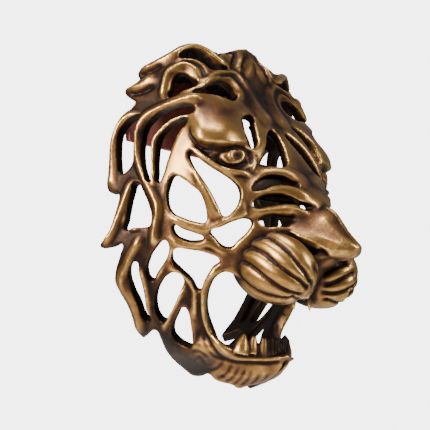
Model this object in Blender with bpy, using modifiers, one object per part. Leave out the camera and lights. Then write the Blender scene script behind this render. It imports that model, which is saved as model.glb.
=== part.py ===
"""Lion wall sculpture: a hollow openwork snarling lion head cast in one piece, on a flat hanging plate.

Design sizes are in millimetres. X is to the right as seen from in front, F is forward and Z is up from the
lowest curl of the beard. The scene is in metres with -Y forward, and its origin is the middle of the flat
back rim over the crown, on the wall. The face is carved on one smooth head surface. Its openings and
ridges are drawn on a sheet that stands square to the direction the sculpture is looked at from, with S to
the right and H up from the middle of the sheet, and are carried straight onto the head surface. One half
is drawn and the other half is its mirror image."""

import math

import bmesh
import bpy
import numpy as np
from mathutils import Matrix, Vector

MM = 0.001
MOUNT_HEIGHT = 182.0
WALL_PLACE = 2.0

# The sheet of the drawings: which way it faces, how far off the eye is, and the point at its middle.
SHEET_TURN = math.radians(51.0)
SHEET_RISE = math.radians(-8.5)
EYE_DISTANCE = 690.0
SHEET_MIDDLE = np.array([0.0, 24.0, 101.0])

WALL_THICKNESS = 6.5
GRID_STEP = 3.0
REMESH_STEP = 1.25
MASK_TRIANGLES = 8600
HALF_OVERLAP = 1.0

# The hanging plate lies against the front of the back rim: half its outline, and its nail hole.
PLATE_BACK = 5.0
PLATE_FRONT = 8.5
PLATE_HALF = [
    (57, 138.5), (58, 145), (57.5, 151), (54, 157), (50, 162), (48, 168), (44, 174), (37, 179.5), (26, 183),
    (13, 184.6),
]
PLATE_GAP = 0.3
NAIL_HOLE_RADIUS = 3.0
NAIL_HOLE_HEIGHT = 172.0

# The flat back rim over the crown: X and Z along its middle line, its half width, and its front.
BACK_RIM = [(0, 182), (8, 181.9), (16, 180.8), (24, 178.4), (32, 174.6), (39, 169)]
BACK_RIM_HALF_WIDTH = 3.2
BACK_RIM_FRONT = 4.7

# Level sections of the head surface: height, then X and F from the middle of the face to the wall.
SECTIONS = [
    (206, [(0, 46), (22, 45), (40, 42), (49, 32), (52, 16), (52, 0)]),
    (195, [(0, 49), (22, 48), (40, 44), (50, 36), (54, 16), (54, 0)]),
    (183, [(0, 54), (22, 52), (46, 46), (53, 40), (56, 18), (56, 0)]),
    (167, [(0, 58), (20, 57), (44, 56), (54, 50), (60, 24), (60, 0)]),
    (150, [(0, 68), (20, 68), (40, 66), (52, 60), (61, 30), (64, 0)]),
    (133, [(0, 80), (10, 80), (27, 77), (44, 72), (54, 63), (63, 30), (67, 0)]),
    (116, [(0, 90), (12, 89), (27, 82), (44, 74), (54, 63), (65, 30), (70, 0)]),
    (100, [(0, 101), (12, 98), (26, 86), (42, 76), (53, 62), (66, 30), (72, 0)]),
    (85, [(0, 100), (14, 97), (28, 86), (41, 74), (52, 59), (65, 30), (73.4, 0)]),
    (75, [(0, 97), (15, 95), (29, 83), (40, 71), (50, 56), (64, 28), (73.4, 0)]),
    (60, [(0, 92), (16, 88), (30, 74), (40, 60), (47, 45), (57, 24), (66, 0)]),
    (45, [(0, 86), (16, 81), (30, 66), (39, 50), (45, 38), (50, 20), (53, 0)]),
    (30, [(0, 80), (10, 74), (18, 66), (26, 57), (32, 45), (37, 34), (40, 18), (40, 0)]),
    (20, [(0, 78.5), (8, 72.5), (16, 65.5), (25, 56.5), (31, 45), (32, 30), (29, 14), (26, 0)]),
    (9, [(0, 71), (6, 67.5), (12, 58), (16, 46), (17, 30), (15, 14), (13, 0)]),
    (0, [(0, 52), (4, 50), (8, 42), (10, 32), (9, 18), (7, 0)]),
    (-8, [(0, 36), (2, 35), (4, 30), (4, 22), (3, 14), (2, 0)]),
]
TURN_STEP = math.radians(7.5)
TURN_COUNT = 16

# The edge of the near half on the sheet, from the tuft round the mane and under the beard to the lower lip,
# then round the mouth and back up beyond the middle of the face.
HALF_EDGE = [
    (27, 97), (20, 98.2), (13, 98.2), (8, 97.3), (4.5, 95.3), (2.2, 93.8), (-1, 96.3), (-5, 99), (-9, 101),
    (-15, 101.7), (-20, 100.8), (-28, 95.9), (-36, 91.4), (-44, 86.3), (-46.2, 83.2), (-45.3, 80.4),
    (-46.5, 78), (-49.5, 76), (-53, 74.8), (-53.7, 72.2), (-51, 69.2), (-47.3, 66.8), (-47.8, 65.2),
    (-54, 60), (-57, 55), (-59.5, 49), (-61.2, 43), (-62.3, 33), (-63.2, 23), (-64.3, 17.5), (-62.6, 13.5),
    (-58, 13.3), (-57.2, 10.5), (-58.2, 5), (-59.5, -1), (-62, -9), (-65.5, -14.5), (-68.8, -18.2),
    (-67, -19.7), (-61, -19.2), (-55.4, -17), (-56.5, -24), (-59.2, -34), (-59.4, -40), (-55, -48),
    (-50, -58), (-47, -69), (-45.6, -72.9), (-41.5, -72.5), (-35.6, -68.5), (-33, -72.5), (-30, -79.5),
    (-26.5, -84.5), (-20, -90.5), (-13, -95.5), (-9, -95.8), (-4, -94.4), (0, -98), (4.5, -99.6),
    (10, -101), (13, -103.1), (20, -101.5), (29, -98.8), (36, -95), (40, -90), (42, -86.6), (45, -84.6),
    (50, -83.5), (50, -80.5), (43, -82.4), (36, -83.3), (28, -83.6), (20, -82.6), (13, -80.8), (8.5, -78),
    (4.5, -75), (1, -72), (-2, -67.5), (-4.2, -61), (-5, -54), (-4.6, -48), (-3.4, -43), (-1, -38.5),
    (2, -35.6), (6, -34), (12, -36), (18, -40), (26, -42.5), (36, -43.5), (47, -43), (57, -41), (63, -38),
    (67, -21), (68, -8), (67, 5), (62, 14), (56, 26), (50, 37), (41, 52), (34, 66), (31, 80),
]

# The openings on the sheet, each named for where it lies.
OPENINGS = {
    "crown slot": [
        (-21.2, 93.6), (-19.6, 96), (-15.5, 97.9), (-9, 97.4), (-3, 94), (3, 89.6), (8, 85.4), (1.5, 86),
        (-1.6, 86.5), (-8, 91), (-13, 92.9), (-17, 93.2),
    ],
    "ear": [
        (-28, 69.8), (-27.2, 75), (-25.8, 80.5), (-22.5, 84), (-18.5, 84.7), (-14, 82.4), (-9.7, 78.8),
        (-13, 76), (-19, 73.8), (-23.5, 70.6),
    ],
    "forehead hollow": [
        (-13, 72.6), (-6.5, 75.8), (-0.5, 79.2), (4.5, 79.7), (9, 77.6), (12.5, 73.4), (14, 70), (12, 68.1),
        (6, 69.8), (-1, 72), (-8, 72.6),
    ],
    "outer mane slot": [
        (-44, 58.6), (-48.5, 57.8), (-53.5, 53.8), (-56.8, 48.5), (-57.9, 40), (-57.5, 31), (-55.8, 24.9),
        (-52, 26.8), (-49, 32), (-47.8, 40), (-46.9, 49), (-45.6, 54),
    ],
    "inner mane slot": [
        (-12.3, 64), (-15.5, 65.8), (-22, 65.1), (-30, 62.3), (-37, 57.2), (-41.5, 51.2), (-43.3, 42),
        (-43.2, 33), (-41.4, 24.5), (-38.8, 19.4), (-37.7, 24), (-37.5, 36), (-36.6, 44.3), (-32, 50.6),
        (-25.5, 55.9), (-17, 59.4), (-13, 60.8),
    ],
    "temple slot": [
        (-16.5, 57.2), (-22, 56.2), (-29, 51.4), (-33.6, 45.4), (-35, 37), (-35.1, 27), (-34, 19.4),
        (-31.6, 23), (-28.8, 32), (-25.5, 41), (-21.8, 49),
    ],
    "side drop": [
        (-46.5, 19.3), (-49.4, 13), (-51.2, 5), (-52.4, -3), (-53.3, -8.4), (-48, -7.4), (-42, -7.2),
        (-38.8, -6), (-37.9, -1), (-39.4, 5.5), (-42.2, 12.5),
    ],
    "mane tail": [
        (-30, -14.9), (-27.8, -18), (-28.1, -24), (-31.2, -30.2), (-34.4, -34.6), (-37.2, -39), (-40, -34.5),
        (-39, -27.5), (-36.2, -21.4),
    ],
    "lock slot": [
        (-47, -27.7), (-44.9, -34.5), (-42.4, -44), (-40.6, -54), (-39.4, -63), (-42.3, -61), (-45.3, -53),
        (-48.9, -44), (-50.4, -36.5), (-49.8, -31),
    ],
    "jaw side": [
        (-24, -34), (-20, -35.4), (-18.6, -38.6), (-20.4, -44.5), (-23.4, -52), (-27, -59), (-30.5, -63.4),
        (-34, -60.4), (-35.8, -54), (-35, -46.4), (-31.6, -39.6), (-27.6, -35.6),
    ],
    "chin side": [
        (-18.4, -54.8), (-15.9, -58.5), (-14.6, -66), (-13.9, -73), (-15, -78.4), (-19.5, -77.6),
        (-25, -73), (-25.6, -68), (-22.8, -60.6),
    ],
    "cheek": [
        (-25, 23.8), (-20, 21.8), (-14, 17.4), (-9.4, 13.6), (-6.7, 8), (-5.1, 0), (-6, -4.5), (-12, -4.2),
        (-20, -1.6), (-26.4, 2), (-29, 9), (-28.4, 17),
    ],
    "cheek leaf": [
        (-25, -6), (-19, -8.6), (-12, -11), (-6.8, -14), (-12, -16), (-19, -14.7), (-24.2, -11),
    ],
    "under the eye": [
        (-15, 38.4), (-11, 34.6), (-4, 29.6), (4, 25.1), (11, 20.7), (15.2, 15.8), (15.3, 9.4), (11, 2.5),
        (5, -0.9), (2.6, 3.4), (-2.2, 13), (-8.2, 22), (-14, 30), (-16.3, 36),
    ],
    "behind the pad": [
        (-2.8, -10), (4, -7), (11, -3.8), (19, -2.2), (22.2, -3.6), (20, -9.6), (13.8, -15.6), (9, -19.8),
        (4.5, -19), (0, -14.4),
    ],
    "jaw hinge": [
        (-24, -20.6), (-14, -21.1), (-4, -23.3), (2.5, -27.4), (-2.4, -32), (-6, -38), (-9.6, -44.4),
        (-14.6, -38.2), (-21, -32.8), (-25.4, -28),
    ],
    "beside the brow": [
        (19.7, 59.7), (16.4, 57.5), (15.8, 53.5), (18, 47), (20.4, 41.4), (22.9, 39.9), (25.6, 42.2),
        (25.2, 48), (24.1, 54), (23.2, 58.6),
    ],
    "between the brows": [
        (33.2, 50.8), (31.4, 48), (30.8, 42), (28.6, 35), (26.8, 29.4), (33, 28.9), (42.6, 29.6),
        (42.6, 36), (39.8, 44), (36.2, 49.2),
    ],
    "upper stripe": [
        (22.3, 15), (24.6, 19.6), (30, 23.2), (37, 24), (44, 22.2), (50, 16.9), (43, 18), (35, 17.6),
        (28, 14.9),
    ],
    "middle stripe": [
        (22.4, 6.4), (26, 10.3), (33, 12.4), (42, 12.2), (51, 8.3), (60, 2.6), (50, 5.9), (40, 6.5),
        (30, 4.8), (25, 4.2),
    ],
    "lower stripe": [
        (26.2, -3), (30, -0.4), (40, 0), (50, -1.3), (56.6, -3.8), (49, -6.5), (38, -6.6), (29, -6.3),
    ],
}

# Ridges on the sheet: the line of the crest, its height and the half width of its slopes.
RIDGES = [
    ([(-43, 60), (-51, 57.5), (-57, 51), (-59.8, 43), (-60.2, 28), (-62.3, 15)], 2.4, 4.5),
    ([(-4, 67), (-13, 69), (-25, 66.5), (-36, 61), (-43.5, 54.5), (-46, 45), (-44.5, 31), (-39, 17),
      (-34.5, 6), (-34.5, -3), (-37.5, -22)], 2.6, 5.0),
    ([(-16, 60), (-27, 55), (-34.5, 47.5), (-36.6, 38), (-36.4, 22)], 2.0, 3.5),
    ([(-47, 22), (-52.5, 10), (-58, -4), (-62, -11), (-68, -18.2)], 2.6, 4.5),
    ([(-43.5, -10), (-47, -19), (-53, -31), (-54.8, -40), (-49.5, -50), (-45, -62), (-44, -71)], 2.6, 4.5),
    ([(-43.5, -29), (-41.6, -40), (-39.6, -52), (-37, -63)], 2.0, 3.5),
    ([(-30, -31), (-22, -32.6), (-15, -38.6), (-11.6, -47), (-12, -60)], 2.2, 4.0),
    ([(-20, -44), (-25, -54), (-29, -65), (-27, -76), (-17, -88)], 2.2, 4.5),
    ([(4, -31.5), (-2.5, -36), (-6.6, -44), (-7, -54), (-5, -64), (1, -75), (9, -82), (20, -84.3),
      (34, -84.8), (48, -84)], 2.2, 3.6),
    ([(-46, 84), (-33, 90), (-21, 96.5), (-14, 99.5)], 2.4, 5.0),
    ([(-53, 72.5), (-42, 77), (-34, 84)], 2.6, 5.0),
    ([(-31, 68), (-30, 78), (-25, 86), (-18, 88), (-11, 83.6), (-8.4, 80)], 2.4, 3.2),
    ([(-12, 74), (-3, 80), (4, 82.4), (11, 81.6), (17, 74), (22, 67), (33, 54)], 2.2, 4.0),
    ([(-14, 40), (-4, 33.6), (6, 28.6), (16, 25.2), (22, 21)], 2.0, 3.2),
    ([(20, 96), (20.5, 88), (18.5, 80)], 2.4, 4.0),
    # The bands between the cheek stripes and the straps of the cheek.
    ([(18, 1), (30, 2), (40, 3), (50, 2.5), (57, 1.5), (63, -1)], 1.8, 3.4),
    ([(20, 11.5), (26, 13), (35, 15.2), (44, 15.2), (52, 12.5), (58, 9)], 1.2, 2.6),
    ([(22, 25), (30, 26.5), (40, 26.5), (50, 22), (56, 16)], 1.0, 2.8),
    ([(-15, 30), (-10, 22), (-4, 12), (0, 3), (3, -2)], 0.9, 2.6),
    ([(-28, 0), (-20, -4.5), (-12, -7.5), (-5, -8.5), (3, -5), (12, -1), (22, 0)], 1.2, 3.0),
    ([(-28, -12), (-22, -17), (-12, -18.5), (-4, -17.5), (3, -21), (8, -24)], 1.2, 2.6),
]

# Swellings and hollows on the sheet: middle, half sizes, lean in degrees and height.
SWELLINGS = [
    ((11, 33.5), (13, 6.5), 0, -2.2),
    ((11.8, 34.6), (8.6, 4.6), 0, 2.6),
    ((12.8, 35.0), (3.8, 3.8), 0, 1.4),
    ((22, 31), (3, 6), 0, 2.0),
    ((10, 3), (9, 8), 0, 1.0),
    ((-4, 13), (6, 18), 20, 1.2),
    ((18, -93), (26, 6), 6, 2.0),
]

# The brow: its sharp lower edge on the sheet, its height, and how far it takes to rise and to fade.
BROW_EDGE = [(-18, 50), (-14, 45.5), (-10, 42), (-5, 40.2), (2, 39.4), (10, 39.2), (16, 39.8), (23, 42)]
BROW_HEIGHT = 4.6
BROW_RISE = 3.4
BROW_FADE = (6.0, 24.0)
BROW_ENDS = ((-18.0, -9.0), (15.0, 23.0))

# The whisker pads: middle, half sizes and dip towards the front. The grooves that face the eye are lines on
# the sheet, and the others run round the long way at turns counted from the middle of the face upwards.
PAD_MIDDLE = (20.0, 81.5, 65.3)
PAD_HALF_SIZES = (18.0, 27.0, 20.5)
PAD_DIP = math.radians(18.0)
PAD_GROOVES_SEEN = [
    [(26, -12.5), (31, -12), (36, -14.5), (41, -18.5), (46, -23.5), (50, -29), (54, -34), (57, -39)],
    [(16, -18.7), (22, -19), (28, -22), (34, -27), (40, -31.5), (46, -36), (51, -39.5), (55, -43)],
    [(12, -26.5), (18, -28.5), (25, -33.5), (32, -39), (39, -43.5), (46, -46.5), (50, -47.3)],
    [(12, -31), (14, -36), (19, -41.5), (26, -46), (34, -48.7), (42, -49.8), (47, -49.4)],
]
PAD_GROOVE_TURNS = [-66, -28, 10, 48]
PAD_GROOVE_DEPTH = 2.8
PAD_GROOVE_HALF_WIDTH = 2.4

# The near half of the nose as rings from the bridge to the tip. Each goes round by the top's middle, the
# slope of the top, the crest of the wing, the wing's lower edge, the underside and the underside's middle.
NOSE_RINGS = [
    [(0, 90, 98), (-9, 88, 96), (-20, 84, 86), (-20, 84, 78), (-10, 86, 76), (0, 86, 74)],
    [(0, 100, 99.2), (-9, 97.5, 96), (-19, 92, 85.5), (-19, 91, 76), (-10, 94, 74), (0, 96, 72)],
    [(0, 107.5, 96), (-8, 104.5, 91.5), (-17, 98.5, 83.8), (-17.5, 97, 74.5), (-10, 100, 72.5), (0, 102, 68)],
    [(0, 112.5, 89.8), (-7, 110, 86), (-14.5, 106, 80.4), (-14.5, 104, 72.5), (-8, 106, 71), (0, 108, 66)],
    [(0, 116.8, 83.5), (-6, 115, 81.5), (-12.3, 111.5, 78), (-12, 110, 70.5), (-6, 111, 69), (0, 113, 67.5)],
    [(0, 121, 78.6), (-5, 119.5, 77.8), (-10, 116.5, 75.6), (-9.5, 115.5, 70), (-5, 117, 69), (0, 117.5, 68.6)],
    [(0, 123.3, 75.6), (-4, 122.3, 75.2), (-7.5, 119.5, 74.2), (-7.2, 119, 70.8), (-4, 120, 70), (0, 120.5, 69.8)],
    [(0, 124, 73.5), (-2.5, 123.4, 73.5), (-4.5, 121.5, 73), (-4.5, 121.2, 71.6), (-2.5, 121.8, 71.2),
     (0, 122, 71)],
]
NOSTRIL_MIDDLE = (12.5, 108.0, 70.0)
NOSTRIL_RADIUS = 4.0

# The fill between the pads under the nose: height, its front at the middle, and half widths by its depth.
PHILTRUM = [(73, 110), (66, 106), (60, 104), (54, 101), (49, 96)]
PHILTRUM_HALF_WIDTHS = [(0, 4.0), (6, 7.0), (14, 14.0)]
PHILTRUM_BACK = 84.0

# Teeth: foot, tip and foot radius.
TEETH = [
    ((19.0, 59.0, 17.0), (19.0, 61.0, 32.0), 4.6),
    ((12.6, 65.5, 17.0), (12.6, 66.5, 27.0), 3.4),
    ((7.4, 69.0, 16.0), (7.4, 69.5, 26.0), 3.0),
    ((2.4, 70.5, 16.0), (2.4, 71.0, 25.5), 2.9),
    ((7.6, 84.0, 60.0), (7.6, 85.6, 41.5), 3.6),
]

# Hair swept back over the crown to the back rim: X and height at the front and at the back, and half width.
CROWN_LOCKS = [
    (37.0, 188.0, 33.0, 174.0, 6.0),
    (22.0, 188.5, 20.0, 180.0, 6.0),
    (7.0, 190.5, 7.0, 182.0, 6.0),
]

# The gum that carries the lower teeth: its line inside the lip, and half width.
GUM = [(1, 67.5, 15.5), (-8, 65.5, 15.5), (-12.5, 61, 16), (-17, 55, 17), (-22, 46, 19), (-26, 37, 21)]
GUM_HALF_WIDTH = 4.2

# The lining that closes the upper two cheek stripes from inside: how far it reaches to the side, its lowest
# and highest place, and the depths of its two faces under the head surface.
LINING_REACH = 37.0
LINING_HEIGHTS = (101.5, 123.0)
LINING_DEPTHS = (5.0, 8.0)


def new_object(name, mesh, collection):
    """An object of this mesh in this collection."""
    made = bpy.data.objects.new(name, mesh)
    collection.objects.link(made)
    return made


def slopes(at, values):
    """The slope of a smooth curve through the values at each of these places."""
    shape = (-1,) + (1,) * (values.ndim - 1)
    steps = np.diff(values, axis=0) / np.diff(at).reshape(shape)
    found = np.empty_like(values)
    found[1:-1] = (steps[:-1] + steps[1:]) / 2
    found[0] = steps[0]
    found[-1] = steps[-1]
    return found


def smooth_between(at, values, slope, wanted):
    """The smooth curve through the values, read at the wanted places."""
    low = np.clip(np.searchsorted(at, wanted) - 1, 0, len(at) - 2)
    step = at[low + 1] - at[low]
    part = (wanted - at[low]) / step
    if values.ndim > 1:
        part = part[:, None]
        step = step[:, None]
    start = (2 * part**3 - 3 * part**2 + 1) * values[low] + (part**3 - 2 * part**2 + part) * step * slope[low]
    end = (3 * part**2 - 2 * part**3) * values[low + 1] + (part**3 - part**2) * step * slope[low + 1]
    return start + end


def head_table():
    """The head surface's distance from the upright line through the wall, by height and by turn."""
    turns = TURN_STEP * np.arange(TURN_COUNT)
    rows = []
    for _, points in SECTIONS[::-1]:
        across, forward = np.array(points, float).T
        turn = np.arctan2(across, forward)
        reach = np.hypot(across, forward)
        turn = np.concatenate([-turn[:0:-1], turn, [math.radians(115)]])
        reach = np.concatenate([reach[:0:-1], reach, [reach[-1]]])
        rows.append(smooth_between(turn, reach, slopes(turn, reach), turns))
    heights = np.array([height for height, _ in SECTIONS[::-1]], float)
    return heights, np.array(rows)


HEIGHTS, REACHES = head_table()
REACH_SLOPES = slopes(HEIGHTS, REACHES)


def outside_by(points):
    """How far these points (X, F, Z) stand out from the head surface, measured level from the upright line."""
    across = np.abs(points[:, 0])
    forward = points[:, 1]
    row = smooth_between(HEIGHTS, REACHES, REACH_SLOPES, np.clip(points[:, 2], HEIGHTS[0], HEIGHTS[-1]))
    place = np.clip(np.arctan2(across, forward) / TURN_STEP, 0, TURN_COUNT - 1.001)
    low = place.astype(int)
    part = place - low
    each = np.arange(len(row))
    a, b, c, d = (row[each, np.clip(np.abs(low + k), 0, TURN_COUNT - 1)] for k in (-1, 0, 1, 2))
    reach = b + 0.5 * part * (c - a + part * (2 * a - 5 * b + 4 * c - d + part * (3 * (b - c) + d - a)))
    return np.hypot(across, forward) - reach


def outward(points):
    """The outward direction of the head surface near these points."""
    step = 0.5
    found = np.empty_like(points)
    for axis in range(3):
        shift = np.zeros(3)
        shift[axis] = step
        found[:, axis] = outside_by(points + shift) - outside_by(points - shift)
    return found / np.linalg.norm(found, axis=1)[:, None]


TO_EYE = np.array([
    -math.sin(SHEET_TURN) * math.cos(SHEET_RISE),
    math.cos(SHEET_TURN) * math.cos(SHEET_RISE),
    math.sin(SHEET_RISE),
])
SHEET_RIGHT = np.array([math.cos(SHEET_TURN), math.sin(SHEET_TURN), 0.0])
SHEET_UP = np.cross(SHEET_RIGHT, TO_EYE)
EYE = SHEET_MIDDLE + EYE_DISTANCE * TO_EYE


def carried_to_head(sheet):
    """The places where lines from the eye through these sheet points meet the head surface."""
    through = SHEET_MIDDLE + sheet[:, :1] * SHEET_RIGHT + sheet[:, 1:2] * SHEET_UP
    line = through - EYE
    line /= np.linalg.norm(line, axis=1)[:, None]
    near = np.full(len(line), 540.0)
    far = np.full(len(line), 760.0)
    met = np.zeros(len(line), bool)
    before = near.copy()
    for reach in np.arange(541.5, 760.0, 1.5):
        inside = (outside_by(EYE + reach * line) <= 0) & ~met
        near[inside] = before[inside]
        far[inside] = reach
        met |= inside
        before[:] = reach
    for _ in range(16):
        middle = (near + far) / 2
        inside = outside_by(EYE + middle[:, None] * line) <= 0
        far = np.where(inside, middle, far)
        near = np.where(inside, near, middle)
    return EYE + far[:, None] * line, met


def distance_to_line(points, line):
    """How far these sheet points are from a line of straight parts."""
    best = np.full(len(points), 1e9)
    for start, end in zip(line[:-1], line[1:]):
        start = np.array(start, float)
        along = np.array(end, float) - start
        part = np.clip((points - start) @ along / (along @ along), 0, 1)
        best = np.minimum(best, np.linalg.norm(points - start - part[:, None] * along, axis=1))
    return best


def smooth_line(points, parts=5):
    """A smooth line through the points, as short straight parts."""
    points = np.array(points, float)
    at = np.concatenate([[0], np.cumsum(np.linalg.norm(np.diff(points, axis=0), axis=1))])
    wanted = np.concatenate([
        np.linspace(start, end, parts, endpoint=False) for start, end in zip(at[:-1], at[1:])
    ] + [at[-1:]])
    return smooth_between(at, points, slopes(at, points), wanted)


def step_up(low, high, values):
    """A smooth step from 0 at the low value to 1 at the high value."""
    share = np.clip((values - low) / (high - low), 0, 1)
    return share * share * (3 - 2 * share)


def brow(points):
    """The height of the brow, which rises sharply over the eye and fades into the forehead."""
    across, edge = np.array(BROW_EDGE, float).T
    above = points[:, 1] - np.interp(points[:, 0], across, edge)
    ends = step_up(*BROW_ENDS[0], points[:, 0]) * (1 - step_up(*BROW_ENDS[1], points[:, 0]))
    return BROW_HEIGHT * step_up(0, BROW_RISE, above) * (1 - step_up(*BROW_FADE, above)) * ends


def carving(points):
    """The height of the carving above the head surface at these sheet points."""
    height = np.zeros(len(points))
    for line, high, half_width in RIDGES:
        near = np.clip(1 - distance_to_line(points, line) / half_width, 0, 1)
        height = np.maximum(height, high * near)
    for middle, half_sizes, lean, high in SWELLINGS:
        turn = math.radians(lean)
        away = points - np.array(middle, float)
        along = away[:, 0] * math.cos(turn) + away[:, 1] * math.sin(turn)
        across = away[:, 1] * math.cos(turn) - away[:, 0] * math.sin(turn)
        round_part = 1 - (along / half_sizes[0]) ** 2 - (across / half_sizes[1]) ** 2
        height = height + high * np.sqrt(np.clip(round_part, 0, 1))
    return height + brow(points)


def drawn_half():
    """The near half as a flat filled drawing with its openings, cut into a fine grid."""
    curve = bpy.data.curves.new("half drawing", "CURVE")
    curve.dimensions = "2D"
    curve.fill_mode = "BOTH"
    curve.resolution_u = 3
    for outline in [HALF_EDGE, *OPENINGS.values()]:
        spline = curve.splines.new("BEZIER")
        spline.bezier_points.add(len(outline) - 1)
        spline.use_cyclic_u = True
        for point, (across, up) in zip(spline.bezier_points, outline):
            point.co = (across, up, 0)
            point.handle_left_type = "AUTO"
            point.handle_right_type = "AUTO"
    drawing = new_object("half drawing", curve, bpy.context.scene.collection)
    bpy.context.view_layer.update()
    mesh = bpy.data.meshes.new_from_object(drawing.evaluated_get(bpy.context.evaluated_depsgraph_get()))
    bpy.data.objects.remove(drawing)
    bm = bmesh.new()
    bm.from_mesh(mesh)
    bpy.data.meshes.remove(mesh)
    bmesh.ops.remove_doubles(bm, verts=bm.verts[:], dist=0.02)
    for axis, low, high in ((0, -70.0, 70.0), (1, -105.0, 103.0)):
        for place in np.arange(low, high, GRID_STEP):
            side = Vector((1, 0, 0)) if axis == 0 else Vector((0, 1, 0))
            bmesh.ops.bisect_plane(
                bm, geom=bm.verts[:] + bm.edges[:] + bm.faces[:], plane_co=side * float(place), plane_no=side
            )
    bmesh.ops.triangulate(bm, faces=bm.faces[:])
    return bm


def half_shell():
    """The near half of the openwork shell, carved and given its thickness."""
    bm = drawn_half()
    sheet = np.array([vert.co[:2] for vert in bm.verts])
    place, met = carried_to_head(sheet)
    away = outward(place)
    place = place + away * carving(sheet)[:, None]
    missed = [vert for vert, on_head in zip(bm.verts, met) if not on_head]
    for vert, spot in zip(bm.verts, place):
        vert.co = spot
    bmesh.ops.delete(bm, geom=missed, context="VERTS")
    bmesh.ops.bisect_plane(
        bm, geom=bm.verts[:] + bm.edges[:] + bm.faces[:], plane_co=(HALF_OVERLAP, 0, 0), plane_no=(1, 0, 0),
        clear_outer=True,
    )
    bmesh.ops.triangulate(bm, faces=bm.faces[:])
    bm.verts.ensure_lookup_table()
    outer = np.array([vert.co[:] for vert in bm.verts])
    away = outward(outer)
    depth = np.full(len(outer), WALL_THICKNESS) + np.maximum(outside_by(outer), 0)
    inner = outer - away * depth[:, None]
    count = len(bm.verts)
    grown = bmesh.ops.extrude_face_region(bm, geom=bm.faces[:], use_keep_orig=True)
    new_verts = [item for item in grown["geom"] if isinstance(item, bmesh.types.BMVert)]
    lookup = {tuple(round(part, 4) for part in outer[index]): inner[index] for index in range(count)}
    for vert in new_verts:
        vert.co = lookup[tuple(round(part, 4) for part in vert.co)]
    bmesh.ops.recalc_face_normals(bm, faces=bm.faces[:])
    return bm


def add_loft(bm, rings):
    """A closed skin through rings of points of equal count, with a cap at each end."""
    made = [[bm.verts.new(point) for point in ring] for ring in rings]
    count = len(made[0])
    for ring, following in zip(made[:-1], made[1:]):
        for index in range(count):
            after = (index + 1) % count
            bm.faces.new((ring[index], ring[after], following[after], following[index]))
    bm.faces.new(made[0][::-1])
    bm.faces.new(made[-1])


def add_smooth_loft(bm, rings, between=4):
    """A loft with extra rings between the given ones, so that it bends smoothly."""
    rings = np.array(rings, float)
    at = np.arange(len(rings), dtype=float)
    wanted = np.linspace(0, len(rings) - 1, between * (len(rings) - 1) + 1)
    flat = rings.reshape(len(rings), -1)
    smooth = smooth_between(at, flat, slopes(at, flat), wanted).reshape(len(wanted), -1, 3)
    add_loft(bm, smooth)


def add_cone(bm, foot, tip, radius, tip_radius):
    """A round tooth from its foot to its tip."""
    foot = Vector(foot)
    tip = Vector(tip)
    along = tip - foot
    turn = along.to_track_quat("Z", "Y").to_matrix().to_4x4()
    place = Matrix.Translation((foot + tip) / 2) @ turn
    bmesh.ops.create_cone(
        bm, cap_ends=True, segments=12, radius1=radius, radius2=tip_radius, depth=along.length, matrix=place
    )


def add_ribbon(bm, line, half_width, thickness):
    """A lock of hair along a line: flat below, ridged above, and narrower at its last end."""
    rings = []
    for index, point in enumerate(line):
        point = Vector(point)
        ahead = Vector(line[min(index + 1, len(line) - 1)]) - Vector(line[max(index - 1, 0)])
        across = ahead.cross(Vector((0, 0, 1))).normalized()
        above = across.cross(ahead).normalized()
        share = 1 - 0.35 * index / (len(line) - 1)
        half = half_width * share
        rings.append([
            point - across * half - above * thickness / 2,
            point + across * half - above * thickness / 2,
            point + across * half,
            point + above * thickness * 0.8,
            point - across * half,
        ])
    add_loft(bm, rings)


def pad_point(turn, along):
    """The design place on the smooth pad at this turn round it and this share of its half length."""
    level = np.sqrt(np.clip(1 - along**2, 0, 1))
    across = PAD_HALF_SIZES[0] * level * np.cos(turn)
    up = PAD_HALF_SIZES[2] * level * np.sin(turn)
    ahead = PAD_HALF_SIZES[1] * along
    return np.stack([
        across - PAD_MIDDLE[0],
        PAD_MIDDLE[1] + ahead * math.cos(PAD_DIP) + up * math.sin(PAD_DIP),
        PAD_MIDDLE[2] - ahead * math.sin(PAD_DIP) + up * math.cos(PAD_DIP),
    ], axis=-1)


def carried_to_pad(sheet):
    """The places where lines from the eye through these sheet points meet the smooth pad."""
    axes = np.array([
        [1, 0, 0],
        [0, math.cos(PAD_DIP), -math.sin(PAD_DIP)],
        [0, math.sin(PAD_DIP), math.cos(PAD_DIP)],
    ]) / np.array(PAD_HALF_SIZES)[:, None]
    middle = np.array([-PAD_MIDDLE[0], PAD_MIDDLE[1], PAD_MIDDLE[2]])
    start = axes @ (EYE - middle)
    line = SHEET_MIDDLE + sheet[:, :1] * SHEET_RIGHT + sheet[:, 1:2] * SHEET_UP - EYE
    slope = line @ axes.T
    square = (slope**2).sum(axis=1)
    half = slope @ start
    inside = np.maximum(half**2 - square * (start @ start - 1), 0)
    return EYE + ((-half - np.sqrt(inside)) / square)[:, None] * line


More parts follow.
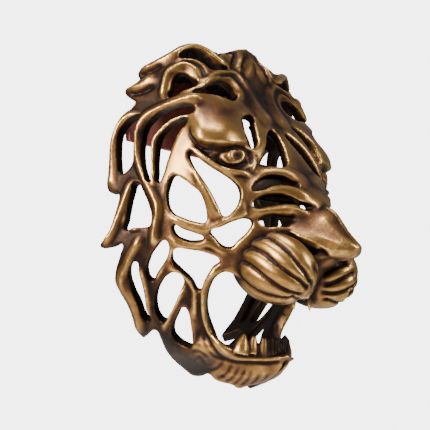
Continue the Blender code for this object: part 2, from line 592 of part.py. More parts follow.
def add_pad(bm):
    """A whisker pad with its long grooves."""
    grooves = [carried_to_pad(smooth_line(line)) for line in PAD_GROOVES_SEEN]
    along = np.linspace(-0.97, 0.97, 50)
    grooves += [pad_point(np.full(50, math.radians(turn)), along) for turn in PAD_GROOVE_TURNS]
    turns = np.radians(np.arange(0, 360, 3))
    middle = np.array([-PAD_MIDDLE[0], PAD_MIDDLE[1], PAD_MIDDLE[2]])
    rings = []
    for along in np.sin(np.radians(np.linspace(-88, 88, 45))):
        ring = pad_point(turns, np.full(len(turns), along))
        nearest = np.full(len(ring), 1e9)
        for line in grooves:
            apart = np.linalg.norm(ring[:, None, :] - line[None, :, :], axis=2).min(axis=1)
            nearest = np.minimum(nearest, apart)
        drop = PAD_GROOVE_DEPTH * np.clip(1 - nearest / PAD_GROOVE_HALF_WIDTH, 0, 1)
        away = ring - middle
        rings.append(middle + away * (1 - drop / np.linalg.norm(away, axis=1))[:, None])
    add_loft(bm, rings)


def add_nose(bm):
    """The near half of the nose, and of the fill under it between the two pads."""
    add_smooth_loft(bm, [
        [(HALF_OVERLAP if across == 0 else across, forward, up) for across, forward, up in ring]
        for ring in NOSE_RINGS
    ])
    add_smooth_loft(bm, [
        [
            (HALF_OVERLAP, front, up),
            *((-half_width, front - depth, up) for depth, half_width in PHILTRUM_HALF_WIDTHS),
            (-PHILTRUM_HALF_WIDTHS[-1][1], PHILTRUM_BACK, up),
            (HALF_OVERLAP, PHILTRUM_BACK, up),
        ]
        for up, front in PHILTRUM
    ])


def add_lining(bm):
    """The lining behind the upper two cheek stripes, a strip that follows the head surface."""
    across = np.linspace(HALF_OVERLAP, -LINING_REACH, 14)
    rings = []
    for up in np.linspace(*LINING_HEIGHTS, 8):
        near = np.full(len(across), 30.0)
        far = np.full(len(across), 130.0)
        for _ in range(24):
            middle = (near + far) / 2
            place = np.stack([across, middle, np.full(len(across), up)], axis=1)
            inside = outside_by(place) <= 0
            near = np.where(inside, middle, near)
            far = np.where(inside, far, middle)
        place = np.stack([across, near, np.full(len(across), up)], axis=1)
        away = outward(place)
        outer = place - away * LINING_DEPTHS[0]
        inner = place - away * LINING_DEPTHS[1]
        rings.append(np.concatenate([outer, inner[::-1]]))
    add_loft(bm, rings)


def add_gum(bm):
    """The gum that carries the lower teeth, round the inside of the lip."""
    gum = smooth_line(GUM)
    rings = []
    for index, point in enumerate(gum):
        before = Vector(gum[max(index - 1, 0)])
        after = Vector(gum[min(index + 1, len(gum) - 1)])
        side = (after - before).cross(Vector((0, 0, 1))).normalized() * GUM_HALF_WIDTH
        middle = Vector(point)
        rings.append([
            middle - side + Vector((0, 0, -4.5)), middle + side + Vector((0, 0, -4.5)),
            middle + side + Vector((0, 0, 2.0)), middle + side * 0.5 + Vector((0, 0, 3.4)),
            middle - side * 0.5 + Vector((0, 0, 3.4)), middle - side + Vector((0, 0, 2.0)),
        ])
    add_loft(bm, rings)


def add_middle_parts(bm):
    """Everything of the near half that stands on or in the shell: pads, nose, teeth, gums and crown hair."""
    add_pad(bm)
    add_nose(bm)
    for foot, tip, radius in TEETH:
        add_cone(bm, (-foot[0], foot[1], foot[2]), (-tip[0], tip[1], tip[2]), radius, 0.28 * radius)
    add_gum(bm)
    add_lining(bm)
    # The roof between the two pads that the upper fangs grow from.
    add_loft(bm, [
        [(HALF_OVERLAP, front, 56), (-19, front - 3, 57), (-19, front - 3, 66), (HALF_OVERLAP, front, 68)]
        for front in (97.0, 76.0)
    ])
    for front_x, front_z, back_x, back_z, half_width in CROWN_LOCKS:
        add_ribbon(
            bm,
            [
                (-front_x, 42.0, front_z - 1.0),
                (-front_x, 34.0, front_z + 1.5),
                (-(front_x + back_x) / 2, 18.0, (front_z + back_z) / 2 + 2.0),
                (-back_x, 1.0, back_z),
            ],
            half_width,
            5.5,
        )
    rings = []
    for index, (across, up) in enumerate(BACK_RIM):
        before = BACK_RIM[max(index - 1, 0)]
        after = BACK_RIM[min(index + 1, len(BACK_RIM) - 1)]
        lean = math.atan2(after[1] - before[1], after[0] - before[0])
        if index == 0:
            lean = 0.0
            across = -HALF_OVERLAP
        side = (math.sin(lean) * BACK_RIM_HALF_WIDTH, math.cos(lean) * BACK_RIM_HALF_WIDTH)
        rings.append([
            (-across + side[0], -1.0, up + side[1]),
            (-across - side[0], -1.0, up - side[1]),
            (-across - side[0], BACK_RIM_FRONT, up - side[1]),
            (-across + side[0], BACK_RIM_FRONT, up + side[1]),
        ])
    add_loft(bm, rings)


def bm_to_object(bm, name, collection):
    """Turns a design in millimetres with F forward into a scene object in metres with -Y forward."""
    bm.normal_update()
    bmesh.ops.recalc_face_normals(bm, faces=bm.faces[:])
    for vert in bm.verts:
        across, forward, up = vert.co
        vert.co = (across * MM, (WALL_PLACE - forward) * MM, (up - MOUNT_HEIGHT) * MM)
    bmesh.ops.reverse_faces(bm, faces=bm.faces[:])
    mesh = bpy.data.meshes.new(name)
    bm.to_mesh(mesh)
    bm.free()
    return new_object(name, mesh, collection)


def mirrored_copy(bm):
    """Adds the other half of the head, as the mirror image across the middle of the face."""
    copy = bmesh.ops.duplicate(bm, geom=bm.verts[:] + bm.edges[:] + bm.faces[:])["geom"]
    faces = [item for item in copy if isinstance(item, bmesh.types.BMFace)]
    for item in copy:
        if isinstance(item, bmesh.types.BMVert):
            item.co.x = -item.co.x
    bmesh.ops.reverse_faces(bm, faces=faces)


def applied(thing):
    """Makes the object's modifiers part of its mesh."""
    bpy.context.view_layer.update()
    mesh = bpy.data.meshes.new_from_object(thing.evaluated_get(bpy.context.evaluated_depsgraph_get()))
    thing.modifiers.clear()
    old = thing.data
    thing.data = mesh
    bpy.data.meshes.remove(old)


def box_cutter(name, low, high, collection):
    """A cutter with square corners, from its low to its high corner in design millimetres."""
    bm = bmesh.new()
    bmesh.ops.create_cube(bm, size=1.0)
    for vert in bm.verts:
        vert.co = [low[axis] + (vert.co[axis] + 0.5) * (high[axis] - low[axis]) for axis in range(3)]
    made = bm_to_object(bm, name, collection)
    made.display_type = "WIRE"
    made.hide_render = True
    return made


def nostril_cutter(collection):
    """Two balls that hollow the nostrils into the underside of the nose."""
    bm = bmesh.new()
    for side in (-1, 1):
        middle = Vector((side * NOSTRIL_MIDDLE[0], NOSTRIL_MIDDLE[1], NOSTRIL_MIDDLE[2]))
        bmesh.ops.create_icosphere(
            bm, subdivisions=2, radius=NOSTRIL_RADIUS, matrix=Matrix.Translation(middle)
        )
    made = bm_to_object(bm, "nostrils", collection)
    made.display_type = "WIRE"
    made.hide_render = True
    return made


def plate_outline(grow):
    """The edge of the hanging plate, grown outwards by this much: straight below and arched above."""
    middle = (0.0, 160.0)
    half = [
        (
            across + grow * math.copysign(1, across),
            up + grow * math.copysign(1, up - middle[1]),
        )
        for across, up in PLATE_HALF
    ]
    return half + [(-across, up) for across, up in half[::-1]]


def plate_solid(name, grow, back, front, nail_hole, collection):
    """The plate as an upright flat outline with thickness, with or without its nail hole."""
    curve = bpy.data.curves.new(name, "CURVE")
    curve.dimensions = "2D"
    curve.fill_mode = "BOTH"
    curve.extrude = (front - back) / 2
    outlines = [plate_outline(grow)]
    if nail_hole:
        outlines.append([
            (
                NAIL_HOLE_RADIUS * math.cos(math.tau * index / 24),
                NAIL_HOLE_HEIGHT + NAIL_HOLE_RADIUS * math.sin(math.tau * index / 24),
            )
            for index in range(24)
        ])
    for outline in outlines:
        spline = curve.splines.new("POLY")
        spline.points.add(len(outline) - 1)
        spline.use_cyclic_u = True
        for point, (across, up) in zip(spline.points, outline):
            point.co = (across, up, 0, 1)
    drawing = new_object(name + " drawing", curve, bpy.context.scene.collection)
    bpy.context.view_layer.update()
    mesh = bpy.data.meshes.new_from_object(drawing.evaluated_get(bpy.context.evaluated_depsgraph_get()))
    bpy.data.objects.remove(drawing)
    bm = bmesh.new()
    bm.from_mesh(mesh)
    bpy.data.meshes.remove(mesh)
    bmesh.ops.remove_doubles(bm, verts=bm.verts[:], dist=0.01)
    for vert in bm.verts:
        across, up, depth = vert.co
        vert.co = (across, (front + back) / 2 + depth, up)
    return bm_to_object(bm, name, collection)


def cut_with(thing, cutter, operation):
    """An exact Boolean of this kind, made part of the mesh."""
    cut = thing.modifiers.new(operation.lower(), "BOOLEAN")
    cut.object = cutter
    cut.operation = operation
    cut.solver = "EXACT"
    applied(thing)


def material(name, colour, metallic, roughness):
    """A plain material of this colour."""
    made = bpy.data.materials.new(name)
    made.use_nodes = True
    shader = made.node_tree.nodes["Principled BSDF"]
    shader.inputs["Base Color"].default_value = (*colour, 1.0)
    shader.inputs["Metallic"].default_value = metallic
    shader.inputs["Roughness"].default_value = roughness
    return made


def largest_body_only(thing):
    """Keeps the largest joined body of the mesh and removes loose crumbs."""
    bm = bmesh.new()
    bm.from_mesh(thing.data)
    left = set(bm.verts)
    bodies = []
    while left:
        start = left.pop()
        body = {start}
        waiting = [start]
        while waiting:
            for edge in waiting.pop().link_edges:
                for vert in edge.verts:
                    if vert in left:
                        left.discard(vert)
                        body.add(vert)
                        waiting.append(vert)
        bodies.append(body)
    bodies.sort(key=len, reverse=True)
    for body in bodies[1:]:
        bmesh.ops.delete(bm, geom=list(body), context="VERTS")
    bm.to_mesh(thing.data)
    bm.free()
    return len(bodies)


def build():
    """Makes the mask and its plate."""
    for thing in list(bpy.data.objects):
        bpy.data.objects.remove(thing)
    scene = bpy.context.scene
    parts = bpy.data.collections.new("Lion wall sculpture")
    scene.collection.children.link(parts)
    cutters = bpy.data.collections.new("Cutters")
    cutters.hide_render = True
    scene.collection.children.link(cutters)

    bm = half_shell()
    add_middle_parts(bm)
    mirrored_copy(bm)
    mask = bm_to_object(bm, "lion_mask", parts)

    remesh = mask.modifiers.new("one body", "REMESH")
    remesh.mode = "VOXEL"
    remesh.voxel_size = REMESH_STEP * MM
    ease = mask.modifiers.new("ease", "SMOOTH")
    ease.factor = 0.5
    ease.iterations = 2
    applied(mask)
    print("bodies", largest_body_only(mask), "faces", len(mask.data.polygons))

    fewer = mask.modifiers.new("fewer faces", "DECIMATE")
    fewer.ratio = MASK_TRIANGLES / (2 * len(mask.data.polygons))
    fewer.use_collapse_triangulate = True
    applied(mask)

    behind_wall = box_cutter("behind the wall", (-120, -60, -40), (120, WALL_PLACE, 260), cutters)
    cut_with(mask, behind_wall, "DIFFERENCE")
    cut_with(mask, nostril_cutter(cutters), "DIFFERENCE")
    pocket = plate_solid(
        "plate pocket", PLATE_GAP, PLATE_BACK - PLATE_GAP, PLATE_FRONT + PLATE_GAP, False, cutters
    )
    pocket.display_type = "WIRE"
    pocket.hide_render = True
    cut_with(mask, pocket, "DIFFERENCE")
    largest_body_only(mask)

    plate = plate_solid("hanging_plate", 0.0, PLATE_BACK, PLATE_FRONT, True, parts)
    mask.data.materials.clear()
    mask.data.materials.append(material("antique_gold", (0.42, 0.29, 0.13), 0.9, 0.38))
    plate.data.materials.clear()
    plate.data.materials.append(material("red_brown_plate", (0.22, 0.05, 0.04), 0.0, 0.6))


build()
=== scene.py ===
"""The looks of the lion wall sculpture: the antique gold casting in fine detail, and its hanging plate.

Design sizes are in millimetres. X is to the right as seen from in front, F is forward and Z is up from the
lowest curl of the beard. The face is carved on one smooth head surface. Its openings, ridges and grooves
are drawn on a sheet that stands square to the direction of the camera, with S to the right and H up from
the middle of the sheet, and are carried straight onto the head surface. One half is drawn and the other
half is its mirror image."""

import math

import bmesh
import bpy
import numpy as np
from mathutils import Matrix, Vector, kdtree


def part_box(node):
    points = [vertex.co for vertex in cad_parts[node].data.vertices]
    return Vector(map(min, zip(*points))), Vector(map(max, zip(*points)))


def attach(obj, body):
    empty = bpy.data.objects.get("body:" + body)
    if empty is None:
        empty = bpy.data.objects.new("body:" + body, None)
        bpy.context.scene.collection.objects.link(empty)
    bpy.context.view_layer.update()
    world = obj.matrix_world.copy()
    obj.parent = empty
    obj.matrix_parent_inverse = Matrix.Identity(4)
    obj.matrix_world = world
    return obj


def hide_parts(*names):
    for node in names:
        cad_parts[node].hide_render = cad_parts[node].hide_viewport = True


MM = 0.001
MOUNT_HEIGHT = 182.0
WALL_PLACE = 2.0

# The sheet of the drawings, which is also the camera's picture plane through the middle of the head.
SHEET_TURN = math.radians(51.0)
SHEET_RISE = math.radians(-8.5)
EYE_DISTANCE = 690.0
SHEET_MIDDLE = np.array([0.0, 24.0, 101.0])
PICTURE_WIDTH = 253.7
SENSOR_WIDTH = 36.0

# The shell: its thickness, how its edges are rounded, and how far the near half reaches over the middle.
WALL_THICKNESS = 6.2
EDGE_ROUND_WIDTH = 1.6
EDGE_ROUND_DROP = 1.0
HALF_OVERLAP = 1.0

# The filled drawing: its limits across and up the sheet, the step of its grid, the parts of each curved
# stretch, the distance at which points are joined, and the parts in which its edges are measured.
SHEET_LIMITS = ((-70.0, 70.0), (-105.0, 103.0))
GRID_STEP = 2.0
CURVE_STEPS = 6
MERGE_DISTANCE = 0.02
EDGE_PARTS = 8

# How ridges and grooves rise from their ends, and how full a ridge is across its slopes.
END_START = -1.0
RIDGE_FADE = 7.0
GROOVE_FADE = 3.0
RIDGE_FULLNESS = 0.85

# The search along a line from the eye for the place where it meets the head surface.
SEARCH_FROM = 540.0
SEARCH_TO = 760.0
SEARCH_STEP = 3.0
SEARCH_HALVINGS = 16

# The fine mesh: the cell of the remesh, how it is eased, and how many triangles are kept.
REMESH_STEP = 0.72
EASE_FACTOR = 0.5
EASE_ROUNDS = 2
MASK_TRIANGLES = 190000

# The hanging plate lies against the front of the back rim: half its outline, and its nail hole.
PLATE_BACK = 5.0
PLATE_FRONT = 8.5
PLATE_BEVEL = 0.4
PLATE_HALF = [
    (57, 138.5), (58, 145), (57.5, 151), (54, 157), (50, 162), (48, 168), (44, 174), (37, 179.5), (26, 183),
    (13, 184.6),
]
NAIL_HOLE_RADIUS = 3.0
NAIL_HOLE_HEIGHT = 172.0
NAIL_HOLE_SIDES = 48

# The flat back rim over the crown: X and Z along its middle line, its half width, and F at its two faces.
BACK_RIM = [(0, 182), (8, 181.9), (16, 180.8), (24, 178.4), (32, 174.6), (39, 169)]
BACK_RIM_HALF_WIDTH = 3.2
BACK_RIM_BACK = -1.0
BACK_RIM_FRONT = 4.7

# Level sections of the head surface: height, then X and F from the middle of the face to the wall. They
# are read at even turns round the upright line, and carried on a little past the wall.
SECTIONS = [
    (206, [(0, 46), (22, 45), (40, 42), (49, 32), (52, 16), (52, 0)]),
    (195, [(0, 49), (22, 48), (40, 44), (50, 36), (54, 16), (54, 0)]),
    (183, [(0, 54), (22, 52), (46, 46), (53, 40), (56, 18), (56, 0)]),
    (167, [(0, 58), (20, 57), (44, 56), (54, 50), (60, 24), (60, 0)]),
    (150, [(0, 68), (20, 68), (40, 66), (52, 60), (61, 30), (64, 0)]),
    (133, [(0, 80), (10, 80), (27, 77), (44, 72), (54, 63), (63, 30), (67, 0)]),
    (116, [(0, 90), (12, 89), (27, 82), (44, 74), (54, 63), (65, 30), (70, 0)]),
    (100, [(0, 101), (12, 98), (26, 86), (42, 76), (53, 62), (66, 30), (72, 0)]),
    (85, [(0, 100), (14, 97), (28, 86), (41, 74), (52, 59), (65, 30), (73.4, 0)]),
    (75, [(0, 97), (15, 95), (29, 83), (40, 71), (50, 56), (64, 28), (73.4, 0)]),
    (60, [(0, 92), (16, 88), (30, 74), (40, 60), (47, 45), (57, 24), (66, 0)]),
    (45, [(0, 86), (16, 81), (30, 66), (39, 50), (45, 38), (50, 20), (53, 0)]),
    (30, [(0, 80), (10, 74), (18, 66), (26, 57), (32, 45), (37, 34), (40, 18), (40, 0)]),
    (20, [(0, 78.5), (8, 72.5), (16, 65.5), (25, 56.5), (31, 45), (32, 30), (29, 14), (26, 0)]),
    (9, [(0, 71), (6, 67.5), (12, 58), (16, 46), (17, 30), (15, 14), (13, 0)]),
    (0, [(0, 52), (4, 50), (8, 42), (10, 32), (9, 18), (7, 0)]),
    (-8, [(0, 36), (2, 35), (4, 30), (4, 22), (3, 14), (2, 0)]),
]
TURN_STEP = math.radians(7.5)
TURN_COUNT = 16
LAST_READ_TURN = TURN_COUNT - 1.001
PAST_THE_WALL = math.radians(115)

# The edge of the near half on the sheet: from the tuft round the mane and under the beard to the lower lip,
# then round the mouth, and then back up beyond the middle of the face, where the other half joins on.
MANE_EDGE = [
    (27, 97), (20, 98.2), (13, 98.2), (8, 97.3), (4.5, 95.3), (2.2, 93.8), (-1, 96.3), (-5, 99), (-9, 101),
    (-15, 101.7), (-20, 100.8), (-28, 95.9), (-36, 91.4), (-44, 86.3), (-46.2, 83.2), (-45.3, 80.4),
    (-46.5, 78), (-49.5, 76), (-53, 74.8), (-53.7, 72.2), (-51, 69.2), (-47.3, 66.8), (-47.8, 65.2),
    (-54, 60), (-57, 55), (-59.5, 49), (-61.2, 43), (-62.3, 33), (-63.2, 23), (-64.3, 17.5), (-62.6, 13.5),
    (-58, 13.3), (-57.2, 10.5), (-58.2, 5), (-59.5, -1), (-62, -9), (-65.5, -14.5), (-68.8, -18.2),
    (-67, -19.7), (-61, -19.2), (-55.4, -17), (-56.5, -24), (-59.2, -34), (-59.4, -40), (-55, -48),
    (-50, -58), (-47, -69), (-45.6, -72.9), (-41.5, -72.5), (-35.6, -68.5), (-33, -72.5), (-30, -79.5),
    (-26.5, -84.5), (-20, -90.5), (-13, -95.5), (-9, -95.8), (-4, -94.4), (0, -98), (4.5, -99.6),
    (10, -101), (13, -103.1), (20, -101.5), (29, -98.8), (36, -95), (40, -90), (42, -86.6), (45, -84.6),
]
MOUTH_EDGE = [
    (50, -83.5), (50, -80.5), (43, -82.4), (36, -83.3), (28, -83.6), (20, -82.6), (13, -80.8), (8.5, -78),
    (4.5, -75), (1, -72), (-2, -67.5), (-4.2, -61), (-5, -54), (-4.6, -48), (-3.4, -43), (-1, -38.5),
    (2, -35.6), (6, -34), (12, -36), (18, -40), (26, -42.5), (36, -43.5), (47, -43),
]
FAR_EDGE = [
    (57, -41), (63, -38), (67, -21), (68, -8), (67, 5), (62, 14), (56, 26), (50, 37), (41, 52), (34, 66),
    (31, 80),
]

# The openings on the sheet, each named for where it lies.
OPENINGS = {
    "crown slot": [
        (-21.2, 93.6), (-19.6, 96), (-15.5, 97.9), (-9, 97.4), (-3, 94), (3, 89.6), (8, 85.4), (1.5, 86),
        (-1.6, 86.5), (-8, 91), (-13, 92.9), (-17, 93.2),
    ],
    "ear": [
        (-28, 69.8), (-27.2, 75), (-25.8, 80.5), (-22.5, 84), (-18.5, 84.7), (-14, 82.4), (-9.7, 78.8),
        (-13, 76), (-19, 73.8), (-23.5, 70.6),
    ],
    "forehead hollow": [
        (-13, 72.6), (-6.5, 75.8), (-0.5, 79.2), (4.5, 79.7), (9, 77.6), (12.5, 73.4), (14, 70), (12, 68.1),
        (6, 69.8), (-1, 72), (-8, 72.6),
    ],
    "outer mane slot": [
        (-44, 58.6), (-48.5, 57.8), (-53.5, 53.8), (-56.8, 48.5), (-57.9, 40), (-57.5, 31), (-55.8, 24.9),
        (-52, 26.8), (-49, 32), (-47.8, 40), (-46.9, 49), (-45.6, 54),
    ],
    "inner mane slot": [
        (-12.3, 64), (-15.5, 65.8), (-22, 65.1), (-30, 62.3), (-37, 57.2), (-41.5, 51.2), (-43.3, 42),
        (-43.2, 33), (-41.4, 24.5), (-38.8, 19.4), (-37.7, 24), (-37.5, 36), (-36.6, 44.3), (-32, 50.6),
        (-25.5, 55.9), (-17, 59.4), (-13, 60.8),
    ],
    "temple slot": [
        (-16.5, 57.2), (-22, 56.2), (-29, 51.4), (-33.6, 45.4), (-35, 37), (-35.1, 27), (-34, 19.4),
        (-31.6, 23), (-28.8, 32), (-25.5, 41), (-21.8, 49),
    ],
    "side drop": [
        (-46.5, 19.3), (-49.4, 13), (-51.2, 5), (-52.4, -3), (-53.3, -8.4), (-48, -7.4), (-42, -7.2),
        (-38.8, -6), (-37.9, -1), (-39.4, 5.5), (-42.2, 12.5),
    ],
    "mane tail": [
        (-30, -14.9), (-27.8, -18), (-28.1, -24), (-31.2, -30.2), (-34.4, -34.6), (-37.2, -39), (-40, -34.5),
        (-39, -27.5), (-36.2, -21.4),
    ],
    "lock slot": [
        (-47, -27.7), (-44.9, -34.5), (-42.4, -44), (-40.6, -54), (-39.4, -63), (-42.3, -61), (-45.3, -53),
        (-48.9, -44), (-50.4, -36.5), (-49.8, -31),
    ],
    "jaw side": [
        (-24, -34), (-20, -35.4), (-18.6, -38.6), (-20.4, -44.5), (-23.4, -52), (-27, -59), (-30.5, -63.4),
        (-34, -60.4), (-35.8, -54), (-35, -46.4), (-31.6, -39.6), (-27.6, -35.6),
    ],
    "chin side": [
        (-18.4, -54.8), (-15.9, -58.5), (-14.6, -66), (-13.9, -73), (-15, -78.4), (-19.5, -77.6),
        (-25, -73), (-25.6, -68), (-22.8, -60.6),
    ],
    "cheek": [
        (-25, 23.8), (-20, 21.8), (-14, 17.4), (-9.4, 13.6), (-6.7, 8), (-5.1, 0), (-6, -4.5), (-12, -4.2),
        (-20, -1.6), (-26.4, 2), (-29, 9), (-28.4, 17),
    ],
    "cheek leaf": [
        (-25, -6), (-19, -8.6), (-12, -11), (-6.8, -14), (-12, -16), (-19, -14.7), (-24.2, -11),
    ],
    "under the eye": [
        (-15, 38.4), (-11, 34.6), (-4, 29.6), (4, 25.1), (11, 20.7), (15.2, 15.8), (15.3, 9.4), (11, 2.5),
        (5, -0.9), (2.6, 3.4), (-2.2, 13), (-8.2, 22), (-14, 30), (-16.3, 36),
    ],
    "behind the pad": [
        (-2.8, -10), (4, -7), (11, -3.8), (19, -2.2), (22.2, -3.6), (20, -9.6), (13.8, -15.6), (9, -19.8),
        (4.5, -19), (0, -14.4),
    ],
    "jaw hinge": [
        (-24, -20.6), (-14, -21.1), (-4, -23.3), (2.5, -27.4), (-2.4, -32), (-6, -38), (-9.6, -44.4),
        (-14.6, -38.2), (-21, -32.8), (-25.4, -28),
    ],
    "beside the brow": [
        (19.7, 59.7), (16.4, 57.5), (15.8, 53.5), (18, 47), (20.4, 41.4), (22.9, 39.9), (25.6, 42.2),
        (25.2, 48), (24.1, 54), (23.2, 58.6),
    ],
    "between the brows": [
        (33.2, 50.8), (31.4, 48), (30.8, 42), (28.6, 35), (26.8, 29.4), (33, 28.9), (42.6, 29.6),
        (42.6, 36), (39.8, 44), (36.2, 49.2),
    ],
    "upper stripe": [
        (22.3, 15), (24.6, 19.6), (30, 23.2), (37, 24), (44, 22.2), (50, 16.9), (43, 18), (35, 17.6),
        (28, 14.9),
    ],
    "middle stripe": [
        (22.4, 6.4), (26, 10.3), (33, 12.4), (42, 12.2), (51, 8.3), (60, 2.6), (50, 5.9), (40, 6.5),
        (30, 4.8), (25, 4.2),
    ],
    "lower stripe": [
        (26.2, -3), (30, -0.4), (40, 0), (50, -1.3), (56.6, -3.8), (49, -6.5), (38, -6.6), (29, -6.3),
    ],
}

# Ridges on the sheet: the line of the crest, its height and the half width of its slopes.
RIDGES = [
    # Strands of the mane, from the outside in.
    ([(-43, 60), (-50, 58.3), (-55, 54.5), (-58.7, 47.5), (-59.8, 43), (-60.2, 28), (-60.8, 20),
      (-62.3, 14.5)], 2.5, 3.6),
    ([(-5, 67.5), (-12, 69), (-18, 68.3), (-25, 65.8), (-33, 62.5), (-40, 58.5), (-44, 54), (-46, 49),
      (-46.3, 43), (-45.8, 36), (-44, 29), (-41.5, 22.5), (-38.5, 16), (-36, 11), (-34, 5), (-34, 0),
      (-35, -5), (-36, -12), (-37, -20)], 2.6, 3.6),
    ([(-15, 59.5), (-20, 58), (-26, 55.3), (-31, 51.5), (-35, 47), (-36.5, 42), (-36.7, 34), (-36.5, 19),
      (-35.5, 13)], 2.0, 2.6),
    ([(-47, 22.5), (-50, 16.5), (-53, 9), (-56, 1), (-58.5, -5), (-61, -10.5), (-65, -15.5), (-68, -18)],
     2.6, 3.6),
    ([(-48.5, 13), (-50.5, 6), (-52, 0), (-53.5, -6), (-54, -9)], 1.4, 2.0),
    ([(-47, 22.5), (-45.5, 19), (-43, 14)], 1.6, 2.4),
    ([(-53, -8.5), (-48, -8), (-44, -8.2), (-42.5, -9.5)], 1.6, 2.2),
    ([(-43.5, -10.5), (-44.5, -14), (-47, -19), (-50, -24), (-52, -29), (-54.5, -35), (-54.8, -40),
      (-53, -44.5), (-49.5, -50), (-47, -56), (-45, -62), (-43.5, -71)], 2.6, 3.8),
    ([(-43.5, -29), (-43.5, -33), (-42, -38.5), (-40.5, -45), (-39.8, -51), (-39.3, -57), (-38, -62)],
     2.0, 2.6),
    ([(-28.5, -28), (-31.5, -32), (-34, -36), (-36.5, -40)], 1.4, 2.2),
    ([(-19.5, -43), (-22, -48), (-25, -54), (-28, -60), (-29.5, -66), (-29, -70)], 2.0, 3.0),
    ([(-30, -31), (-24, -31.5), (-19, -34), (-15, -38), (-12, -43), (-11.5, -50), (-12, -57),
      (-12.5, -63)], 2.0, 3.4),
    # The rim of the lower lip.
    ([(4, -31.5), (-1, -34), (-4.5, -38.5), (-6.6, -44), (-7, -50), (-6.8, -57), (-5.2, -64), (-2.2, -70),
      (2.4, -76), (7.5, -80.5), (13, -83), (20, -83.8), (30, -84.2), (38, -83.8), (45, -82.6),
      (53, -80.5)], 2.4, 3.6),
    # The broad swell of the beard.
    ([(-4, -90), (8, -93.5), (20, -95), (34, -92)], 1.2, 7.0),
    # The flung tips over the ear, the crown and the ear itself.
    ([(-46, 84), (-33, 90), (-21, 96.5), (-15, 98.8), (-10, 98.6), (-5, 96.6), (0, 93), (5, 88.5),
      (8, 85.5)], 2.2, 3.0),
    ([(-53, 73), (-42, 77), (-34, 84)], 2.6, 4.0),
    ([(-32, 67), (-30, 75), (-29, 80), (-27, 84.5), (-23, 87), (-18, 88.5), (-12, 85.5), (-9, 82),
      (-8, 80)], 2.4, 2.6),
    # The rims of the forehead hollow and the crest that runs down to the nose.
    ([(-13, 71), (-9, 75.5), (-4, 78.5), (0, 80.5), (4, 81), (8, 80.4), (11.5, 77.5), (14.5, 73.5),
      (17, 69), (19, 66.5)], 1.4, 1.8),
    ([(-9, 76.5), (-4, 80.5), (0, 83), (5, 84), (10, 83.6), (13, 82), (16, 78), (19, 72.5), (21, 69)],
     2.0, 2.4),
    ([(12.5, 83), (16.5, 77.5), (20, 71), (25, 63), (30, 57), (34.5, 52.5)], 1.8, 3.4),
    # The band below the eye and its lid.
    ([(-12, 38), (-6, 34), (0, 30.5), (6, 27.5), (12, 25.5), (17, 24.8), (22, 22)], 1.6, 2.2),
    ([(3, 36), (5, 33), (8, 30.9), (12, 30.2), (16, 31)], 1.2, 1.3),
    # The bands between the cheek stripes and the straps of the cheek.
    ([(18, 1), (30, 2), (40, 3), (50, 2.5), (57, 1.5), (63, -1)], 1.8, 3.4),
    ([(34, 3.5), (42, 4), (49, 3.5)], 1.4, 3.0),
    ([(20, 11.5), (26, 13), (35, 15.2), (44, 15.2), (52, 12.5), (58, 9)], 1.2, 2.6),
    ([(22, 25), (30, 26.5), (40, 26.5), (50, 22), (56, 16)], 1.0, 2.8),
    ([(-15, 30), (-10, 22), (-4, 12), (0, 3), (3, -2)], 0.9, 2.6),
    ([(-28, 0), (-20, -4.5), (-12, -7.5), (-5, -8.5), (3, -5), (12, -1), (22, 0)], 1.2, 3.0),
    ([(-28, -12), (-22, -17), (-12, -18.5), (-4, -17.5), (3, -21), (8, -24)], 1.2, 2.6),
    # The strands of the tuft.
    ([(13, 96), (15, 92), (14.4, 86), (13, 81)], 1.8, 2.4),
    ([(20.5, 96.5), (21, 90), (20, 84), (17.5, 80)], 1.2, 3.4),
]

# Grooves on the sheet: the line of the floor, its depth and half width.
GROOVES = [
    ([(-9.8, -45), (-9.5, -52), (-9, -58), (-7.5, -64), (-5.5, -70), (-3, -75), (0.5, -80.5), (4, -84),
      (9, -86), (20, -86.6), (30, -87), (40, -86)], 1.1, 1.6),
    ([(-20, 91), (-12, 90), (-8, 87), (-6, 83), (-5, 81.5)], 2.4, 1.8),
    ([(-45, 81), (-38, 84.5), (-31, 88.5)], 1.8, 1.6),
    ([(-50, 71), (-43, 72.5), (-36, 76)], 1.8, 1.8),
    ([(-15, 51.5), (-14.5, 48), (-12.5, 44), (-9.5, 40.5), (-5, 37.5), (0, 36)], 1.4, 1.1),
    ([(-13, 41), (-5, 38.6), (5, 38.8), (14, 39.6), (20, 38)], 1.6, 1.5),
    ([(-9, 39), (-2, 33.6), (5, 30), (12, 27.8), (18, 27.4)], 1.4, 1.3),
    ([(20, 39), (21.6, 34), (21, 29)], 2.0, 1.6),
    ([(2, 81.5), (8, 81.5)], 1.2, 1.0),
    ([(6, 95), (9, 96.8), (12.4, 96), (11.6, 91.5), (10, 87.5)], 2.8, 2.2),
    ([(17.4, 93), (15.8, 89), (15.2, 85)], 2.4, 1.2),
]

# Swellings on the sheet: middle, half sizes, lean in degrees and height.
SWELLINGS = [
    ((11, 33.5), (13, 6.5), 0, -2.2),
    ((11.8, 34.6), (8.6, 4.6), 0, 2.6),
    ((22, 31), (2.6, 6), 0, 1.8),
    ((10, 3), (9, 8), 0, 1.0),
    ((-4, 13), (6, 18), 20, 1.2),
]

# The brow: its sharp lower edge on the sheet, its height, and how far it takes to rise and to fade.
BROW_EDGE = [(-18, 50), (-14, 45.5), (-10, 42), (-5, 40.2), (2, 39.4), (10, 39.2), (16, 39.8), (23, 42)]
BROW_HEIGHT = 4.6
BROW_RISE = 3.4
BROW_FADE = (6.0, 24.0)
BROW_ENDS = ((-18.0, -7.0), (3.0, 24.0))

